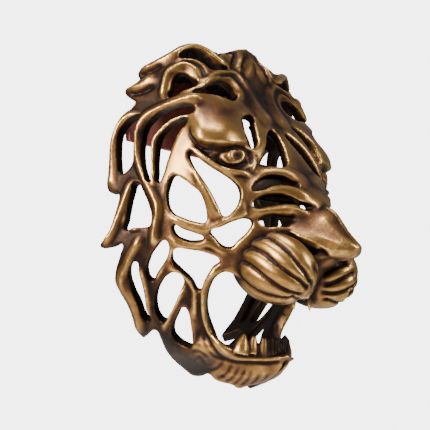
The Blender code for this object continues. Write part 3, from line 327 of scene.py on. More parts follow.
# The eye's raised ring and pupil on the sheet.
IRIS_MIDDLE = (12.8, 35.2)
IRIS_RADIUS = 3.9
IRIS_RING_WIDTH = 0.7
IRIS_RING_HEIGHT = 1.1
PUPIL_RADIUS = 1.5
PUPIL_DEPTH = 1.0

# The strokes between the locks of the beard on the sheet, and their depth and half width.
BEARD_STROKES = [
    [(-9, -68), (-10.5, -73), (-14, -77)], [(-6, -71), (-6, -76), (-4, -80)],
    [(-15, -80), (-9, -81), (-4, -84)], [(-13, -86), (-9, -84), (-6, -88)],
    [(-4, -80), (0, -83.5), (6, -86)], [(5, -86), (1, -90), (-4, -91.5)],
    [(10, -88), (7, -93), (2, -96)], [(14, -90), (11, -95), (6, -99)],
    [(18, -91), (15, -96), (10.5, -100.5)], [(22, -91.5), (19, -97), (15, -101)],
    [(27, -92.5), (24, -97), (20, -100.5)], [(32, -93), (29, -96.5), (25, -99)],
]
BEARD_DEPTH = 0.6
BEARD_HALF_WIDTH = 1.3

# The whisker pads: middle, half sizes and dip towards the front, and the grooves that are seen on the near
# pad's cheek side and on the far pad's inner side, as lines on the sheet.
PAD_MIDDLE = (20.0, 81.5, 65.3)
PAD_HALF_SIZES = (18.0, 27.0, 20.5)
PAD_DIP = math.radians(18.0)
PAD_GROOVES_SEEN = [
    [(26, -12.5), (31, -12), (36, -14.5), (41, -18.5), (46, -23.5), (50, -29), (54, -34), (57, -39)],
    [(16, -18.7), (22, -19), (28, -22), (34, -27), (40, -31.5), (46, -36), (51, -39.5), (55, -43)],
    [(12, -26.5), (18, -28.5), (25, -33.5), (32, -39), (39, -43.5), (46, -46.5), (50, -47.3)],
    [(12, -31), (14, -36), (19, -41.5), (26, -46), (34, -48.7), (42, -49.8), (47, -49.4)],
]
FAR_PAD_GROOVES_SEEN = [
    [(65, -34), (71, -31), (78, -28.5)],
    [(66, -41.5), (70, -40.5), (75, -38.3), (82, -34.5)],
    [(65, -46.5), (70, -47), (76, -45.7), (83, -42)],
    [(66, -50.5), (72, -52.4), (78, -52), (82, -49.5)],
]
PAD_GROOVE_PARTS = 8
PAD_GROOVE_DEPTH = 1.9
PAD_GROOVE_HALF_WIDTH = 1.5
PAD_LOBE = 0.9
PAD_LOBE_REACH = 5.0

# The pad's mesh: degrees between the points of a ring, and its rings from the back to the front.
PAD_TURN_STEP = 1.5
PAD_RING_TURNS = np.linspace(-89, 89, 90)

# The near half of the nose as rings from the bridge to the tip. Each goes round by the top's middle, the
# slope of the top, the crest over the wing, the wing's belly and lower edge, the underside and its middle.
NOSE_RINGS = [
    [(0, 90, 98), (-9, 88, 96), (-20, 84, 86), (-21, 83, 81), (-20, 84, 77), (-10, 86, 75), (0, 86, 73)],
    [(0, 100, 99.2), (-9, 97.5, 96), (-18.5, 92, 88), (-21, 91.5, 83.5), (-18, 91, 79.5), (-10, 94, 75),
     (0, 96, 71)],
    [(0, 107.5, 96), (-8, 104.5, 92), (-16.5, 98.5, 85), (-19.5, 98, 80.5), (-16.5, 97, 76), (-10, 100, 73),
     (0, 102, 69)],
    [(0, 112.5, 89.8), (-7, 110, 86.3), (-14.2, 106, 80.6), (-16, 105.5, 77), (-14, 104.5, 73.4),
     (-8, 106, 71), (0, 108, 68)],
    [(0, 116.8, 83.5), (-6, 115, 81.5), (-12.2, 111.5, 78), (-12.8, 111, 73.5), (-11.2, 110, 70.3),
     (-6, 111, 69), (0, 113, 67.5)],
    [(0, 121, 78.6), (-5, 119.5, 77.8), (-9.8, 116.8, 75.6), (-10.2, 116.2, 72.3), (-8.8, 115.5, 70),
     (-5, 117, 69), (0, 117.5, 68.6)],
    [(0, 123.3, 75.6), (-4, 122.3, 75.2), (-7.5, 119.8, 74), (-7.6, 119.5, 72), (-6.8, 119, 70.7),
     (-4, 120, 70), (0, 120.5, 69.8)],
    [(0, 124, 73.5), (-2.5, 123.4, 73.4), (-4.5, 121.6, 72.9), (-4.6, 121.4, 72.2), (-4.4, 121.2, 71.6),
     (-2.5, 121.8, 71.2), (0, 122, 71)],
]

# The nostril: the middle of its mouth, the way it runs in, its half width and its depth.
NOSTRIL_MIDDLE = (11.5, 107.5, 69.5)
NOSTRIL_WAY = (-0.35, -0.45, 0.82)
NOSTRIL_HALF_WIDTH = 3.6
NOSTRIL_DEPTH = 4.5

# The dark curve under the wing of the nose, pressed into the pad: its line, depth and reach.
WING_RIM = [(22, 83, 81.5), (20, 88, 82), (17.5, 94, 80), (15, 99, 77), (13.5, 102.5, 74)]
WING_RIM_DEPTH = 7.0
WING_RIM_REACH = 8.5

# The fill between the pads under the nose: height, its front at the middle, and half widths by its depth.
PHILTRUM = [(71, 117), (68.5, 111), (66, 105.5), (63, 99.5), (58, 95.5), (53, 92.5), (48.5, 89)]
PHILTRUM_HALF_WIDTHS = [(0.4, 2.4), (2.0, 4.2), (7, 6.5), (14, 14.0)]
PHILTRUM_BACK = 80.0

# Teeth: foot, tip, foot radius, and the tip's share of it.
TEETH = [
    ((20.0, 58.0, 18.5), (19.0, 60.5, 30.5), 5.4, 0.06),
    ((15.6, 63.0, 18.5), (15.2, 63.8, 28.8), 3.0, 0.35),
    ((10.6, 66.6, 17.5), (10.5, 67.2, 27.6), 2.7, 0.7),
    ((6.4, 68.6, 17.5), (6.4, 69.2, 27.4), 2.5, 0.7),
    ((2.3, 69.8, 17.0), (2.3, 70.4, 27.0), 2.4, 0.6),
    ((7.6, 84.0, 60.0), (7.6, 85.6, 41.5), 3.6, 0.08),
]
TOOTH_RINGS = 9
TOOTH_SIDES = 16
TOOTH_BELLY = (1.6, 2.0)

# The roof between the two pads that the upper fangs grow from: F at its ends, and X, F and Z round an end.
ROOF_ENDS = (91.0, 76.0)
ROOF_SECTION = [(HALF_OVERLAP, 0, 56), (-19, -3, 57), (-19, -3, 66), (HALF_OVERLAP, 0, 68)]

# Hair swept back over the crown to the back rim: X and height at the front and at the back. The path of each
# lock is F, the share of the way to its back end, and how far it stands above the straight way.
CROWN_LOCKS = [(37.0, 188.0, 33.0, 174.0), (22.0, 188.5, 20.0, 180.0), (7.0, 190.5, 7.0, 182.0)]
LOCK_PATH = [(42.0, 0.0, -1.0), (34.0, 0.0, 1.5), (18.0, 0.5, 2.0), (1.0, 1.0, 0.0)]
LOCK_HALF_WIDTH = 7.8
LOCK_THICKNESS = 5.5
LOCK_CREST = 0.8
LOCK_TAPER = 0.1

# Places where unlike forms run into each other and are smoothed: middle, how far round it, and how often.
# Then how strongly, and the share of the reach in which the smoothing is full.
BLENDED = [((12, 97.5, 91), 10.0, 40), ((0, 78, 18), 8.0, 30), ((48, 60.5, 154), 8.0, 24)]
BLEND_STRENGTH = 0.6
BLEND_FULL_WITHIN = 0.5

# The gum that carries the lower teeth: its line inside the lip, its half width, and its section as shares of
# the half width and heights.
GUM = [(1, 67.5, 17.5), (-8, 65.5, 17.5), (-12.5, 61, 18), (-17, 55, 18.5), (-22, 46, 20), (-26, 37, 21.5)]
GUM_HALF_WIDTH = 4.4
GUM_SECTION = [(-1, -1.2), (1, -1.2), (1, 2.0), (0.5, 3.4), (-0.5, 3.4), (-1, 2.0)]

# The lining that closes the upper two cheek stripes from inside: how far it reaches to the side, its lowest
# and highest place, the depths of its two faces under the head surface, its grid across and up, and between
# which places and how finely it seeks the head surface.
LINING_REACH = 37.0
LINING_HEIGHTS = (101.5, 123.0)
LINING_DEPTHS = (5.0, 8.0)
LINING_GRID = (14, 8)
LINING_SEARCH = (130.0, 30.0)
LINING_HALVINGS = 24

# How the finish reads the shape: the depths under the head surface where the gilding ends and the patina
# is bare. The mane behind the face is gilded on its raised strands only. Then the cells that measure how
# much surface crowds the space in front of a point, which darkens the finish as painted occlusion shade, and
# how often each value is evened out.
GILDED_ABOVE = -0.6
BARE_BELOW = -2.8
FACE_FROM = (26.0, 48.0)
MANE_GILDED = (0.1, 1.7)
MANE_FLOOR = 0.2
SHADE_CELL = 1.0
SHADE_MARGIN = 14.0
SHADE_REACH = 4.0
SHADE_BLUR = 2
SHADE_ROUNDS = 3
SHADE_FULL = 0.5
OPENNESS_ROUNDS = 3
FINE_BULGE_ROUNDS = 6
BROAD_BULGE_ROUNDS = 40

# Colours of the finish, as linear values.
PATINA = (0.012, 0.006, 0.004)
BROWN = (0.085, 0.036, 0.016)
GOLD = (0.235, 0.125, 0.037)
# Pale gold on sharp crests: rubbed wear of the gilding, and also a painted highlight.
WORN_GOLD_AND_HIGHLIGHT = (0.72, 0.46, 0.16)
PLATE_RED = (0.27, 0.062, 0.045)

# The studio: its floor in metres, the strength of its even light on the head and of the pale background, and
# its soft lights: name, place to the picture's right, up and towards the eye, sides, power and colour.
FLOOR_SIZE = 6.0
FLOOR_HEIGHT = -0.4
WORLD_LIGHT = 0.25
WORLD_SEEN = 5.0
LIGHTS = [
    ("key", (-430, 220, 420), (240, 300), 13.0, (1.0, 0.92, 0.78)),
    ("top", (-40, 560, 160), (300, 180), 5.0, (1.0, 1.0, 1.0)),
    ("right", (440, 200, 200), (120, 300), 2.6, (1.0, 1.0, 1.0)),
]


def new_object(name, data):
    """An object of this mesh, curve, light or camera in the scene."""
    made = bpy.data.objects.new(name, data)
    bpy.context.scene.collection.objects.link(made)
    return made


def on_side(point, side):
    """This design place on the near side of the face (-1) or on the far side (1)."""
    return np.array([side * point[0], point[1], point[2]])


def slopes(at, values):
    """The slope of a smooth curve through the values at each of these places."""
    shape = (-1,) + (1,) * (values.ndim - 1)
    steps = np.diff(values, axis=0) / np.diff(at).reshape(shape)
    found = np.empty_like(values)
    found[1:-1] = (steps[:-1] + steps[1:]) / 2
    found[0] = steps[0]
    found[-1] = steps[-1]
    return found


def smooth_between(at, values, slope, wanted):
    """The smooth curve through the values, read at the wanted places."""
    low = np.clip(np.searchsorted(at, wanted) - 1, 0, len(at) - 2)
    step = at[low + 1] - at[low]
    part = (wanted - at[low]) / step
    if values.ndim > 1:
        part = part[:, None]
        step = step[:, None]
    start = (2 * part**3 - 3 * part**2 + 1) * values[low]
    start += (part**3 - 2 * part**2 + part) * step * slope[low]
    end = (3 * part**2 - 2 * part**3) * values[low + 1] + (part**3 - part**2) * step * slope[low + 1]
    return start + end


def head_table():
    """The head surface's distance from the upright line through the wall, by height and by turn."""
    turns = TURN_STEP * np.arange(TURN_COUNT)
    rows = []
    for _, points in SECTIONS[::-1]:
        across, forward = np.array(points, float).T
        turn = np.arctan2(across, forward)
        reach = np.hypot(across, forward)
        turn = np.concatenate([-turn[:0:-1], turn, [PAST_THE_WALL]])
        reach = np.concatenate([reach[:0:-1], reach, [reach[-1]]])
        rows.append(smooth_between(turn, reach, slopes(turn, reach), turns))
    heights = np.array([height for height, _ in SECTIONS[::-1]], float)
    return heights, np.array(rows)


HEIGHTS, REACHES = head_table()
REACH_SLOPES = slopes(HEIGHTS, REACHES)


def outside_by(points):
    """How far these design points stand out from the head surface, level from the upright line."""
    across = np.abs(points[:, 0])
    forward = points[:, 1]
    row = smooth_between(HEIGHTS, REACHES, REACH_SLOPES, np.clip(points[:, 2], HEIGHTS[0], HEIGHTS[-1]))
    place = np.clip(np.arctan2(across, forward) / TURN_STEP, 0, LAST_READ_TURN)
    low = place.astype(int)
    part = place - low
    each = np.arange(len(row))
    before, start, end, after = (
        row[each, np.clip(np.abs(low + shift), 0, TURN_COUNT - 1)] for shift in (-1, 0, 1, 2)
    )
    bend = 2 * before - 5 * start + 4 * end - after + part * (3 * (start - end) + after - before)
    reach = start + 0.5 * part * (end - before + part * bend)
    return np.hypot(across, forward) - reach


def outward(points):
    """The outward direction of the head surface near these points."""
    step = 0.5
    found = np.empty_like(points)
    for axis in range(3):
        shift = np.zeros(3)
        shift[axis] = step
        found[:, axis] = outside_by(points + shift) - outside_by(points - shift)
    return found / np.linalg.norm(found, axis=1)[:, None]


TO_EYE = np.array([
    -math.sin(SHEET_TURN) * math.cos(SHEET_RISE),
    math.cos(SHEET_TURN) * math.cos(SHEET_RISE),
    math.sin(SHEET_RISE),
])
SHEET_RIGHT = np.array([math.cos(SHEET_TURN), math.sin(SHEET_TURN), 0.0])
SHEET_UP = np.cross(SHEET_RIGHT, TO_EYE)
EYE = SHEET_MIDDLE + EYE_DISTANCE * TO_EYE


def lines_from_eye(sheet):
    """The lines from the eye to these sheet points."""
    return SHEET_MIDDLE + sheet[:, :1] * SHEET_RIGHT + sheet[:, 1:2] * SHEET_UP - EYE


def brought_to_head(outer, inner, place_at, halvings):
    """The inner ends of these spans, brought to the head surface by halving."""
    for _ in range(halvings):
        middle = (outer + inner) / 2
        inside = outside_by(place_at(middle)) <= 0
        inner = np.where(inside, middle, inner)
        outer = np.where(inside, outer, middle)
    return inner


def carried_to_head(sheet):
    """Where lines from the eye through these sheet points meet the head surface, and which do."""
    line = lines_from_eye(sheet)
    line /= np.linalg.norm(line, axis=1)[:, None]
    near = np.full(len(line), SEARCH_FROM)
    far = np.full(len(line), SEARCH_TO)
    met = np.zeros(len(line), bool)
    for reach in np.arange(SEARCH_FROM + SEARCH_STEP, SEARCH_TO, SEARCH_STEP):
        inside = (outside_by(EYE + reach * line) <= 0) & ~met
        near[inside] = reach - SEARCH_STEP
        far[inside] = reach
        met |= inside
    far = brought_to_head(near, far, lambda reach: EYE + reach[:, None] * line, SEARCH_HALVINGS)
    return EYE + far[:, None] * line, met


def smooth_line(points, parts=5):
    """A smooth line through the points, as short straight parts."""
    points = np.array(points, float)
    if len(points) < 3:
        return points
    at = np.concatenate([[0], np.cumsum(np.linalg.norm(np.diff(points, axis=0), axis=1))])
    wanted = np.concatenate([
        np.linspace(start, end, parts, endpoint=False) for start, end in zip(at[:-1], at[1:])
    ] + [at[-1:]])
    return smooth_between(at, points, slopes(at, points), wanted)


def distance_to_line(points, line, limit):
    """How far sheet points are from a line of straight parts, up to a limit, and how far from its ends."""
    best = np.full(len(points), float(limit))
    place = np.zeros(len(points))
    near = ((points > line.min(axis=0) - limit) & (points < line.max(axis=0) + limit)).all(axis=1)
    some = points[near]
    found = best[near]
    passed = place[near]
    length = 0.0
    for start, end in zip(line[:-1], line[1:]):
        along = end - start
        part = np.clip((some - start) @ along / max(along @ along, 1e-9), 0, 1)
        apart = np.linalg.norm(some - start - part[:, None] * along, axis=1)
        passed = np.where(apart < found, length + part * np.linalg.norm(along), passed)
        found = np.minimum(found, apart)
        length += np.linalg.norm(along)
    best[near] = found
    place[near] = np.minimum(passed, length - passed)
    return best, place


def step_up(low, high, values):
    """A smooth step from 0 at the low value to 1 at the high value."""
    share = np.clip((values - low) / (high - low), 0, 1)
    return share * share * (3 - 2 * share)


def brow(points):
    """The height of the brow, which rises sharply over the eye and fades into the forehead."""
    across, edge = np.array(BROW_EDGE, float).T
    above = points[:, 1] - np.interp(points[:, 0], across, edge)
    ends = step_up(*BROW_ENDS[0], points[:, 0]) * (1 - step_up(*BROW_ENDS[1], points[:, 0]))
    return BROW_HEIGHT * step_up(0, BROW_RISE, above) * (1 - step_up(*BROW_FADE, above)) * ends


def carving(points):
    """The height of the carving above the head surface at these sheet points."""
    height = np.zeros(len(points))
    for line, high, half_width in RIDGES:
        apart, from_end = distance_to_line(points, smooth_line(line), half_width)
        near = np.clip(1 - apart / half_width, 0, 1)
        rise = step_up(END_START, RIDGE_FADE, from_end)
        height = np.maximum(height, high * near**RIDGE_FULLNESS * rise)
    for middle, half_sizes, lean, high in SWELLINGS:
        turn = math.radians(lean)
        away = points - np.array(middle, float)
        along = away[:, 0] * math.cos(turn) + away[:, 1] * math.sin(turn)
        across = away[:, 1] * math.cos(turn) - away[:, 0] * math.sin(turn)
        round_part = 1 - (along / half_sizes[0]) ** 2 - (across / half_sizes[1]) ** 2
        height = height + high * np.sqrt(np.clip(round_part, 0, 1))
    height = height + brow(points)
    grooves = GROOVES + [(line, BEARD_DEPTH, BEARD_HALF_WIDTH) for line in BEARD_STROKES]
    for line, deep, half_width in grooves:
        apart, from_end = distance_to_line(points, smooth_line(line), half_width)
        height = height - deep * (1 - apart / half_width) * step_up(END_START, GROOVE_FADE, from_end)
    away = np.linalg.norm(points - np.array(IRIS_MIDDLE), axis=1)
    height = height + IRIS_RING_HEIGHT * np.exp(-(((away - IRIS_RADIUS) / IRIS_RING_WIDTH) ** 2))
    height = height - PUPIL_DEPTH * np.clip(1 - away / PUPIL_RADIUS, 0, 1)
    return height


def evaluated_mesh(thing):
    """The mesh that this object's modifiers or its filled curve make."""
    bpy.context.view_layer.update()
    return bpy.data.meshes.new_from_object(thing.evaluated_get(bpy.context.evaluated_depsgraph_get()))


def filled_drawing(outlines, smooth, thickness=0.0):
    """Closed outlines, smooth or straight, as one filled mesh. Those inside another are its holes."""
    curve = bpy.data.curves.new("drawing", "CURVE")
    curve.dimensions = "2D"
    curve.fill_mode = "BOTH"
    curve.resolution_u = CURVE_STEPS
    curve.extrude = thickness / 2
    for outline in outlines:
        spline = curve.splines.new("BEZIER" if smooth else "POLY")
        points = spline.bezier_points if smooth else spline.points
        points.add(len(outline) - 1)
        spline.use_cyclic_u = True
        for point, place in zip(points, outline):
            point.co = (*place, 0) if smooth else (*place, 0, 1)
            if smooth:
                point.handle_left_type = "AUTO"
                point.handle_right_type = "AUTO"
    drawing = new_object("drawing", curve)
    mesh = evaluated_mesh(drawing)
    bpy.data.objects.remove(drawing)
    bm = bmesh.new()
    bm.from_mesh(mesh)
    bpy.data.meshes.remove(mesh)
    bmesh.ops.remove_doubles(bm, verts=bm.verts[:], dist=MERGE_DISTANCE)
    return bm


def drawn_half():
    """The near half as a flat filled drawing with its openings, cut into a fine grid."""
    bm = filled_drawing([MANE_EDGE + MOUTH_EDGE + FAR_EDGE, *OPENINGS.values()], smooth=True)
    for side, (low, high) in zip((Vector((1, 0, 0)), Vector((0, 1, 0))), SHEET_LIMITS):
        for place in np.arange(low, high, GRID_STEP):
            bmesh.ops.bisect_plane(
                bm, geom=bm.verts[:] + bm.edges[:] + bm.faces[:], plane_co=side * float(place), plane_no=side
            )
    bmesh.ops.triangulate(bm, faces=bm.faces[:])
    bmesh.ops.subdivide_edges(bm, edges=bm.edges[:], cuts=1, use_grid_fill=True)
    bmesh.ops.triangulate(bm, faces=bm.faces[:])
    return bm


def distance_to_edges(sheet):
    """How far these sheet points are from the nearest real edge of the openwork."""
    lines = [smooth_line(MANE_EDGE + MOUTH_EDGE, EDGE_PARTS)]
    lines += [smooth_line(outline + outline[:1], EDGE_PARTS) for outline in OPENINGS.values()]
    tree = kdtree.KDTree(sum(len(line) for line in lines))
    index = 0
    for line in lines:
        for point in line:
            tree.insert((point[0], point[1], 0), index)
            index += 1
    tree.balance()
    return np.array([tree.find((point[0], point[1], 0))[2] for point in sheet])


def half_shell():
    """The near half of the openwork shell, carved, with rounded edges and its thickness."""
    bm = drawn_half()
    sheet = np.array([vert.co[:2] for vert in bm.verts])
    place, met = carried_to_head(sheet)
    away = outward(place)
    edge = np.clip(1 - distance_to_edges(sheet) / EDGE_ROUND_WIDTH, 0, 1) ** 2
    height = carving(sheet) - EDGE_ROUND_DROP * edge
    outer = place + away * height[:, None]
    inner = place - away * (WALL_THICKNESS - EDGE_ROUND_DROP * edge)[:, None]
    missed = [vert for vert, on_head in zip(bm.verts, met) if not on_head]
    kept = np.flatnonzero(met)
    bmesh.ops.delete(bm, geom=missed, context="VERTS")
    for index, vert in enumerate(bm.verts):
        vert.co = (index, 0, 0)
    grown = bmesh.ops.extrude_face_region(bm, geom=bm.faces[:], use_keep_orig=True)
    inner_verts = {item for item in grown["geom"] if isinstance(item, bmesh.types.BMVert)}
    for vert in bm.verts:
        index = kept[round(vert.co.x)]
        vert.co = inner[index] if vert in inner_verts else outer[index]
    bmesh.ops.recalc_face_normals(bm, faces=bm.faces[:])
    cut = bmesh.ops.bisect_plane(
        bm, geom=bm.verts[:] + bm.edges[:] + bm.faces[:], plane_co=(HALF_OVERLAP, 0, 0), plane_no=(1, 0, 0),
        clear_outer=True,
    )
    rim = [item for item in cut["geom_cut"] if isinstance(item, bmesh.types.BMEdge)]
    bmesh.ops.holes_fill(bm, edges=rim, sides=0)
    bmesh.ops.triangulate(bm, faces=bm.faces[:])
    return bm


def add_loft(bm, rings):
    """A closed skin through rings of points of equal count, with a cap at each end."""
    made = [[bm.verts.new(point) for point in ring] for ring in rings]
    count = len(made[0])
    for ring, following in zip(made[:-1], made[1:]):
        for index in range(count):
            after = (index + 1) % count
            bm.faces.new((ring[index], ring[after], following[after], following[index]))
    bm.faces.new(made[0][::-1])
    bm.faces.new(made[-1])


def add_smooth_loft(bm, rings, between=6):
    """A loft with extra rings between the given ones, so that it bends smoothly."""
    rings = np.array(rings, float)
    at = np.arange(len(rings), dtype=float)
    wanted = np.linspace(0, len(rings) - 1, between * (len(rings) - 1) + 1)
    flat = rings.reshape(len(rings), -1)
    smooth = smooth_between(at, flat, slopes(at, flat), wanted).reshape(len(wanted), -1, 3)
    add_loft(bm, smooth)


def add_tooth(bm, foot, tip, radius, blunt):
    """A tooth from its foot to its tip, with a full belly and a sharp or blunt end."""
    foot = Vector(foot)
    tip = Vector(tip)
    along = tip - foot
    turn = along.to_track_quat("Z", "Y").to_matrix()
    rings = []
    for step in range(TOOTH_RINGS):
        share = step / (TOOTH_RINGS - 1)
        size = radius * (1 - (1 - blunt) * share ** (TOOTH_BELLY[0] + TOOTH_BELLY[1] * blunt))
        rings.append([
            foot + along * share + turn @ Vector((size * math.cos(angle), size * math.sin(angle), 0))
            for angle in (math.tau * side / TOOTH_SIDES for side in range(TOOTH_SIDES))
        ])
    add_loft(bm, rings)


def add_lock(bm, line):
    """A lock of hair along a line: flat below, ridged above, and narrower at its last end."""
    rings = []
    line = smooth_line(line)
    for index, point in enumerate(line):
        point = Vector(point)
        ahead = Vector(line[min(index + 1, len(line) - 1)]) - Vector(line[max(index - 1, 0)])
        across = ahead.cross(Vector((0, 0, 1))).normalized()
        above = across.cross(ahead).normalized()
        half = LOCK_HALF_WIDTH * (1 - LOCK_TAPER * index / (len(line) - 1))
        rings.append([
            point - across * half - above * LOCK_THICKNESS / 2,
            point + across * half - above * LOCK_THICKNESS / 2,
            point + across * half,
            point + above * LOCK_THICKNESS * LOCK_CREST,
            point - across * half,
        ])
    add_loft(bm, rings)


def pad_point(turn, along):
    """The design place on the smooth pad at this turn round it and this share of its half length."""
    level = np.sqrt(np.clip(1 - along**2, 0, 1))
    across = PAD_HALF_SIZES[0] * level * np.cos(turn)
    up = PAD_HALF_SIZES[2] * level * np.sin(turn)
    ahead = PAD_HALF_SIZES[1] * along
    return np.stack([
        across - PAD_MIDDLE[0],
        PAD_MIDDLE[1] + ahead * math.cos(PAD_DIP) + up * math.sin(PAD_DIP),
        PAD_MIDDLE[2] - ahead * math.sin(PAD_DIP) + up * math.cos(PAD_DIP),
    ], axis=-1)


def carried_to_pad(sheet, side):
    """The places where lines from the eye through these sheet points meet the smooth pad on this side."""
    axes = np.array([
        [1, 0, 0],
        [0, math.cos(PAD_DIP), -math.sin(PAD_DIP)],
        [0, math.sin(PAD_DIP), math.cos(PAD_DIP)],
    ]) / np.array(PAD_HALF_SIZES)[:, None]
    start = axes @ (EYE - on_side(PAD_MIDDLE, side))
    line = lines_from_eye(sheet)
    slope = line @ axes.T
    square = (slope**2).sum(axis=1)
    half = slope @ start
    inside = np.maximum(half**2 - square * (start @ start - 1), 0)
    return EYE + ((-half - np.sqrt(inside)) / square)[:, None] * line


def pad_grooves():
    """The lines of the near pad's grooves, as design places on the smooth pad."""
    lines = [carried_to_pad(smooth_line(line, PAD_GROOVE_PARTS), -1) for line in PAD_GROOVES_SEEN]
    for line in FAR_PAD_GROOVES_SEEN:
        lines.append(carried_to_pad(smooth_line(line, PAD_GROOVE_PARTS), 1) * np.array([-1, 1, 1]))
    return lines


def add_pad(bm):
    """A whisker pad with its long grooves and the soft lobes between them."""
    turns = np.radians(np.arange(0, 360, PAD_TURN_STEP))
    middle = on_side(PAD_MIDDLE, -1)
    grooves = np.concatenate(pad_grooves())
    rim = smooth_line([on_side(point, -1) for point in WING_RIM])
    rings = []
    for along in np.sin(np.radians(PAD_RING_TURNS)):
        ring = pad_point(turns, np.full(len(turns), along))
        apart = np.linalg.norm(ring[:, None, :] - grooves[None, :, :], axis=2).min(axis=1)
        drop = PAD_GROOVE_DEPTH * np.clip(1 - apart / PAD_GROOVE_HALF_WIDTH, 0, 1)
        drop += PAD_LOBE * (1 - step_up(0, PAD_LOBE_REACH, apart))
        apart = np.linalg.norm(ring[:, None, :] - rim[None, :, :], axis=2).min(axis=1)
        drop += WING_RIM_DEPTH * (1 - step_up(0, WING_RIM_REACH, apart))
        away = ring - middle
        reach = np.linalg.norm(away, axis=1)
        rings.append(middle + away * (1 - drop / reach)[:, None])
    add_loft(bm, rings)


def add_nose(bm):
    """The near half of the nose, and of the ridge under it that parts the lip."""
    add_smooth_loft(bm, [
        [(HALF_OVERLAP if across == 0 else across, forward, up) for across, forward, up in ring]
        for ring in NOSE_RINGS
    ])
    add_smooth_loft(bm, [
        [
            (HALF_OVERLAP, front, up),
            *((-half_width, front - depth, up) for depth, half_width in PHILTRUM_HALF_WIDTHS),
            (-PHILTRUM_HALF_WIDTHS[-1][1], PHILTRUM_BACK, up),
            (HALF_OVERLAP, PHILTRUM_BACK, up),
        ]
        for up, front in PHILTRUM
    ])


def add_lining(bm):
    """The lining behind the upper two cheek stripes, a strip that follows the head surface."""
    across = np.linspace(HALF_OVERLAP, -LINING_REACH, LINING_GRID[0])
    outer_end, inner_end = (np.full(len(across), end) for end in LINING_SEARCH)
    rings = []
    for up in np.linspace(*LINING_HEIGHTS, LINING_GRID[1]):
        level = np.full(len(across), up)
        forward = brought_to_head(
            outer_end, inner_end, lambda reach: np.stack([across, reach, level], axis=1), LINING_HALVINGS
        )
        place = np.stack([across, forward, level], axis=1)
        away = outward(place)
        outer = place - away * LINING_DEPTHS[0]
        inner = place - away * LINING_DEPTHS[1]
        rings.append(np.concatenate([outer, inner[::-1]]))
    add_loft(bm, rings)


def add_gum(bm):
    """The gum that carries the lower teeth, round the inside of the lip."""
    gum = smooth_line(GUM)
    rings = []
    for index, point in enumerate(gum):
        before = Vector(gum[max(index - 1, 0)])
        after = Vector(gum[min(index + 1, len(gum) - 1)])
        side = (after - before).cross(Vector((0, 0, 1))).normalized() * GUM_HALF_WIDTH
        rings.append([Vector(point) + side * share + Vector((0, 0, up)) for share, up in GUM_SECTION])
    add_loft(bm, rings)


def add_back_rim(bm):
    """The near half of the flat rim that rests against the wall over the crown."""
    rings = []
    for index, (across, up) in enumerate(BACK_RIM):
        before = BACK_RIM[max(index - 1, 0)]
        after = BACK_RIM[min(index + 1, len(BACK_RIM) - 1)]
        lean = math.atan2(after[1] - before[1], after[0] - before[0])
        if index == 0:
            lean = 0.0
            across = -HALF_OVERLAP
        side = (math.sin(lean) * BACK_RIM_HALF_WIDTH, math.cos(lean) * BACK_RIM_HALF_WIDTH)
        rings.append([
            (-across + side[0], BACK_RIM_BACK, up + side[1]),
            (-across - side[0], BACK_RIM_BACK, up - side[1]),
            (-across - side[0], BACK_RIM_FRONT, up - side[1]),
            (-across + side[0], BACK_RIM_FRONT, up + side[1]),
        ])
    add_loft(bm, rings)


def add_middle_parts(bm):
    """Everything of the near half that stands on or in the shell: pads, nose, teeth, gums and crown hair."""
    add_pad(bm)
    add_nose(bm)
    for foot, tip, radius, blunt in TEETH:
        add_tooth(bm, on_side(foot, -1), on_side(tip, -1), radius, blunt)
    add_gum(bm)
    add_lining(bm)
    add_loft(bm, [[(across, end + ahead, up) for across, ahead, up in ROOF_SECTION] for end in ROOF_ENDS])
    for front_x, front_z, back_x, back_z in CROWN_LOCKS:
        add_lock(bm, [
            (-front_x - (back_x - front_x) * share, forward, front_z + (back_z - front_z) * share + above)
            for forward, share, above in LOCK_PATH
        ])
    add_back_rim(bm)


def bm_to_object(bm, name):
    """Turns a design in millimetres with F forward into a scene object in metres with -Y forward."""
    bm.normal_update()
    bmesh.ops.recalc_face_normals(bm, faces=bm.faces[:])
    for vert in bm.verts:
        across, forward, up = vert.co
        vert.co = (across * MM, (WALL_PLACE - forward) * MM, (up - MOUNT_HEIGHT) * MM)
    bmesh.ops.reverse_faces(bm, faces=bm.faces[:])
    mesh = bpy.data.meshes.new(name)
    bm.to_mesh(mesh)
    bm.free()
    return new_object(name, mesh)


def mirrored_copy(bm):
    """Adds the other half of the head, as the mirror image across the middle of the face."""
    copy = bmesh.ops.duplicate(bm, geom=bm.verts[:] + bm.edges[:] + bm.faces[:])["geom"]
    faces = [item for item in copy if isinstance(item, bmesh.types.BMFace)]
    for item in copy:
        if isinstance(item, bmesh.types.BMVert):
            item.co.x = -item.co.x
    bmesh.ops.reverse_faces(bm, faces=faces)


def applied(thing):
    """Makes the object's modifiers part of its mesh."""
    mesh = evaluated_mesh(thing)
    thing.modifiers.clear()
    old = thing.data
    thing.data = mesh
    bpy.data.meshes.remove(old)


def values_of(items, name, width, kind=float):
    """A named value of a mesh's points, edges or faces as an array, this many numbers to each."""
    found = np.empty(len(items) * width, kind)
    items.foreach_get(name, found)
    return found.reshape(-1, width)


def points_of(mesh):
    """The mesh's points as an array."""
    return values_of(mesh.vertices, "co", 3)


def edges_of(mesh):
    """The mesh's edges as pairs of point numbers."""
    return values_of(mesh.edges, "vertices", 2, int)


def neighbour_mean(values, edges):
    """The mean of each point's neighbours' values."""
    total = np.zeros_like(values)
    count = np.bincount(edges.ravel(), minlength=len(values)).astype(float)
    np.add.at(total, edges[:, 0], values[edges[:, 1]])
    np.add.at(total, edges[:, 1], values[edges[:, 0]])
    shape = (-1,) + (1,) * (values.ndim - 1)
    return total / np.maximum(count, 1).reshape(shape)


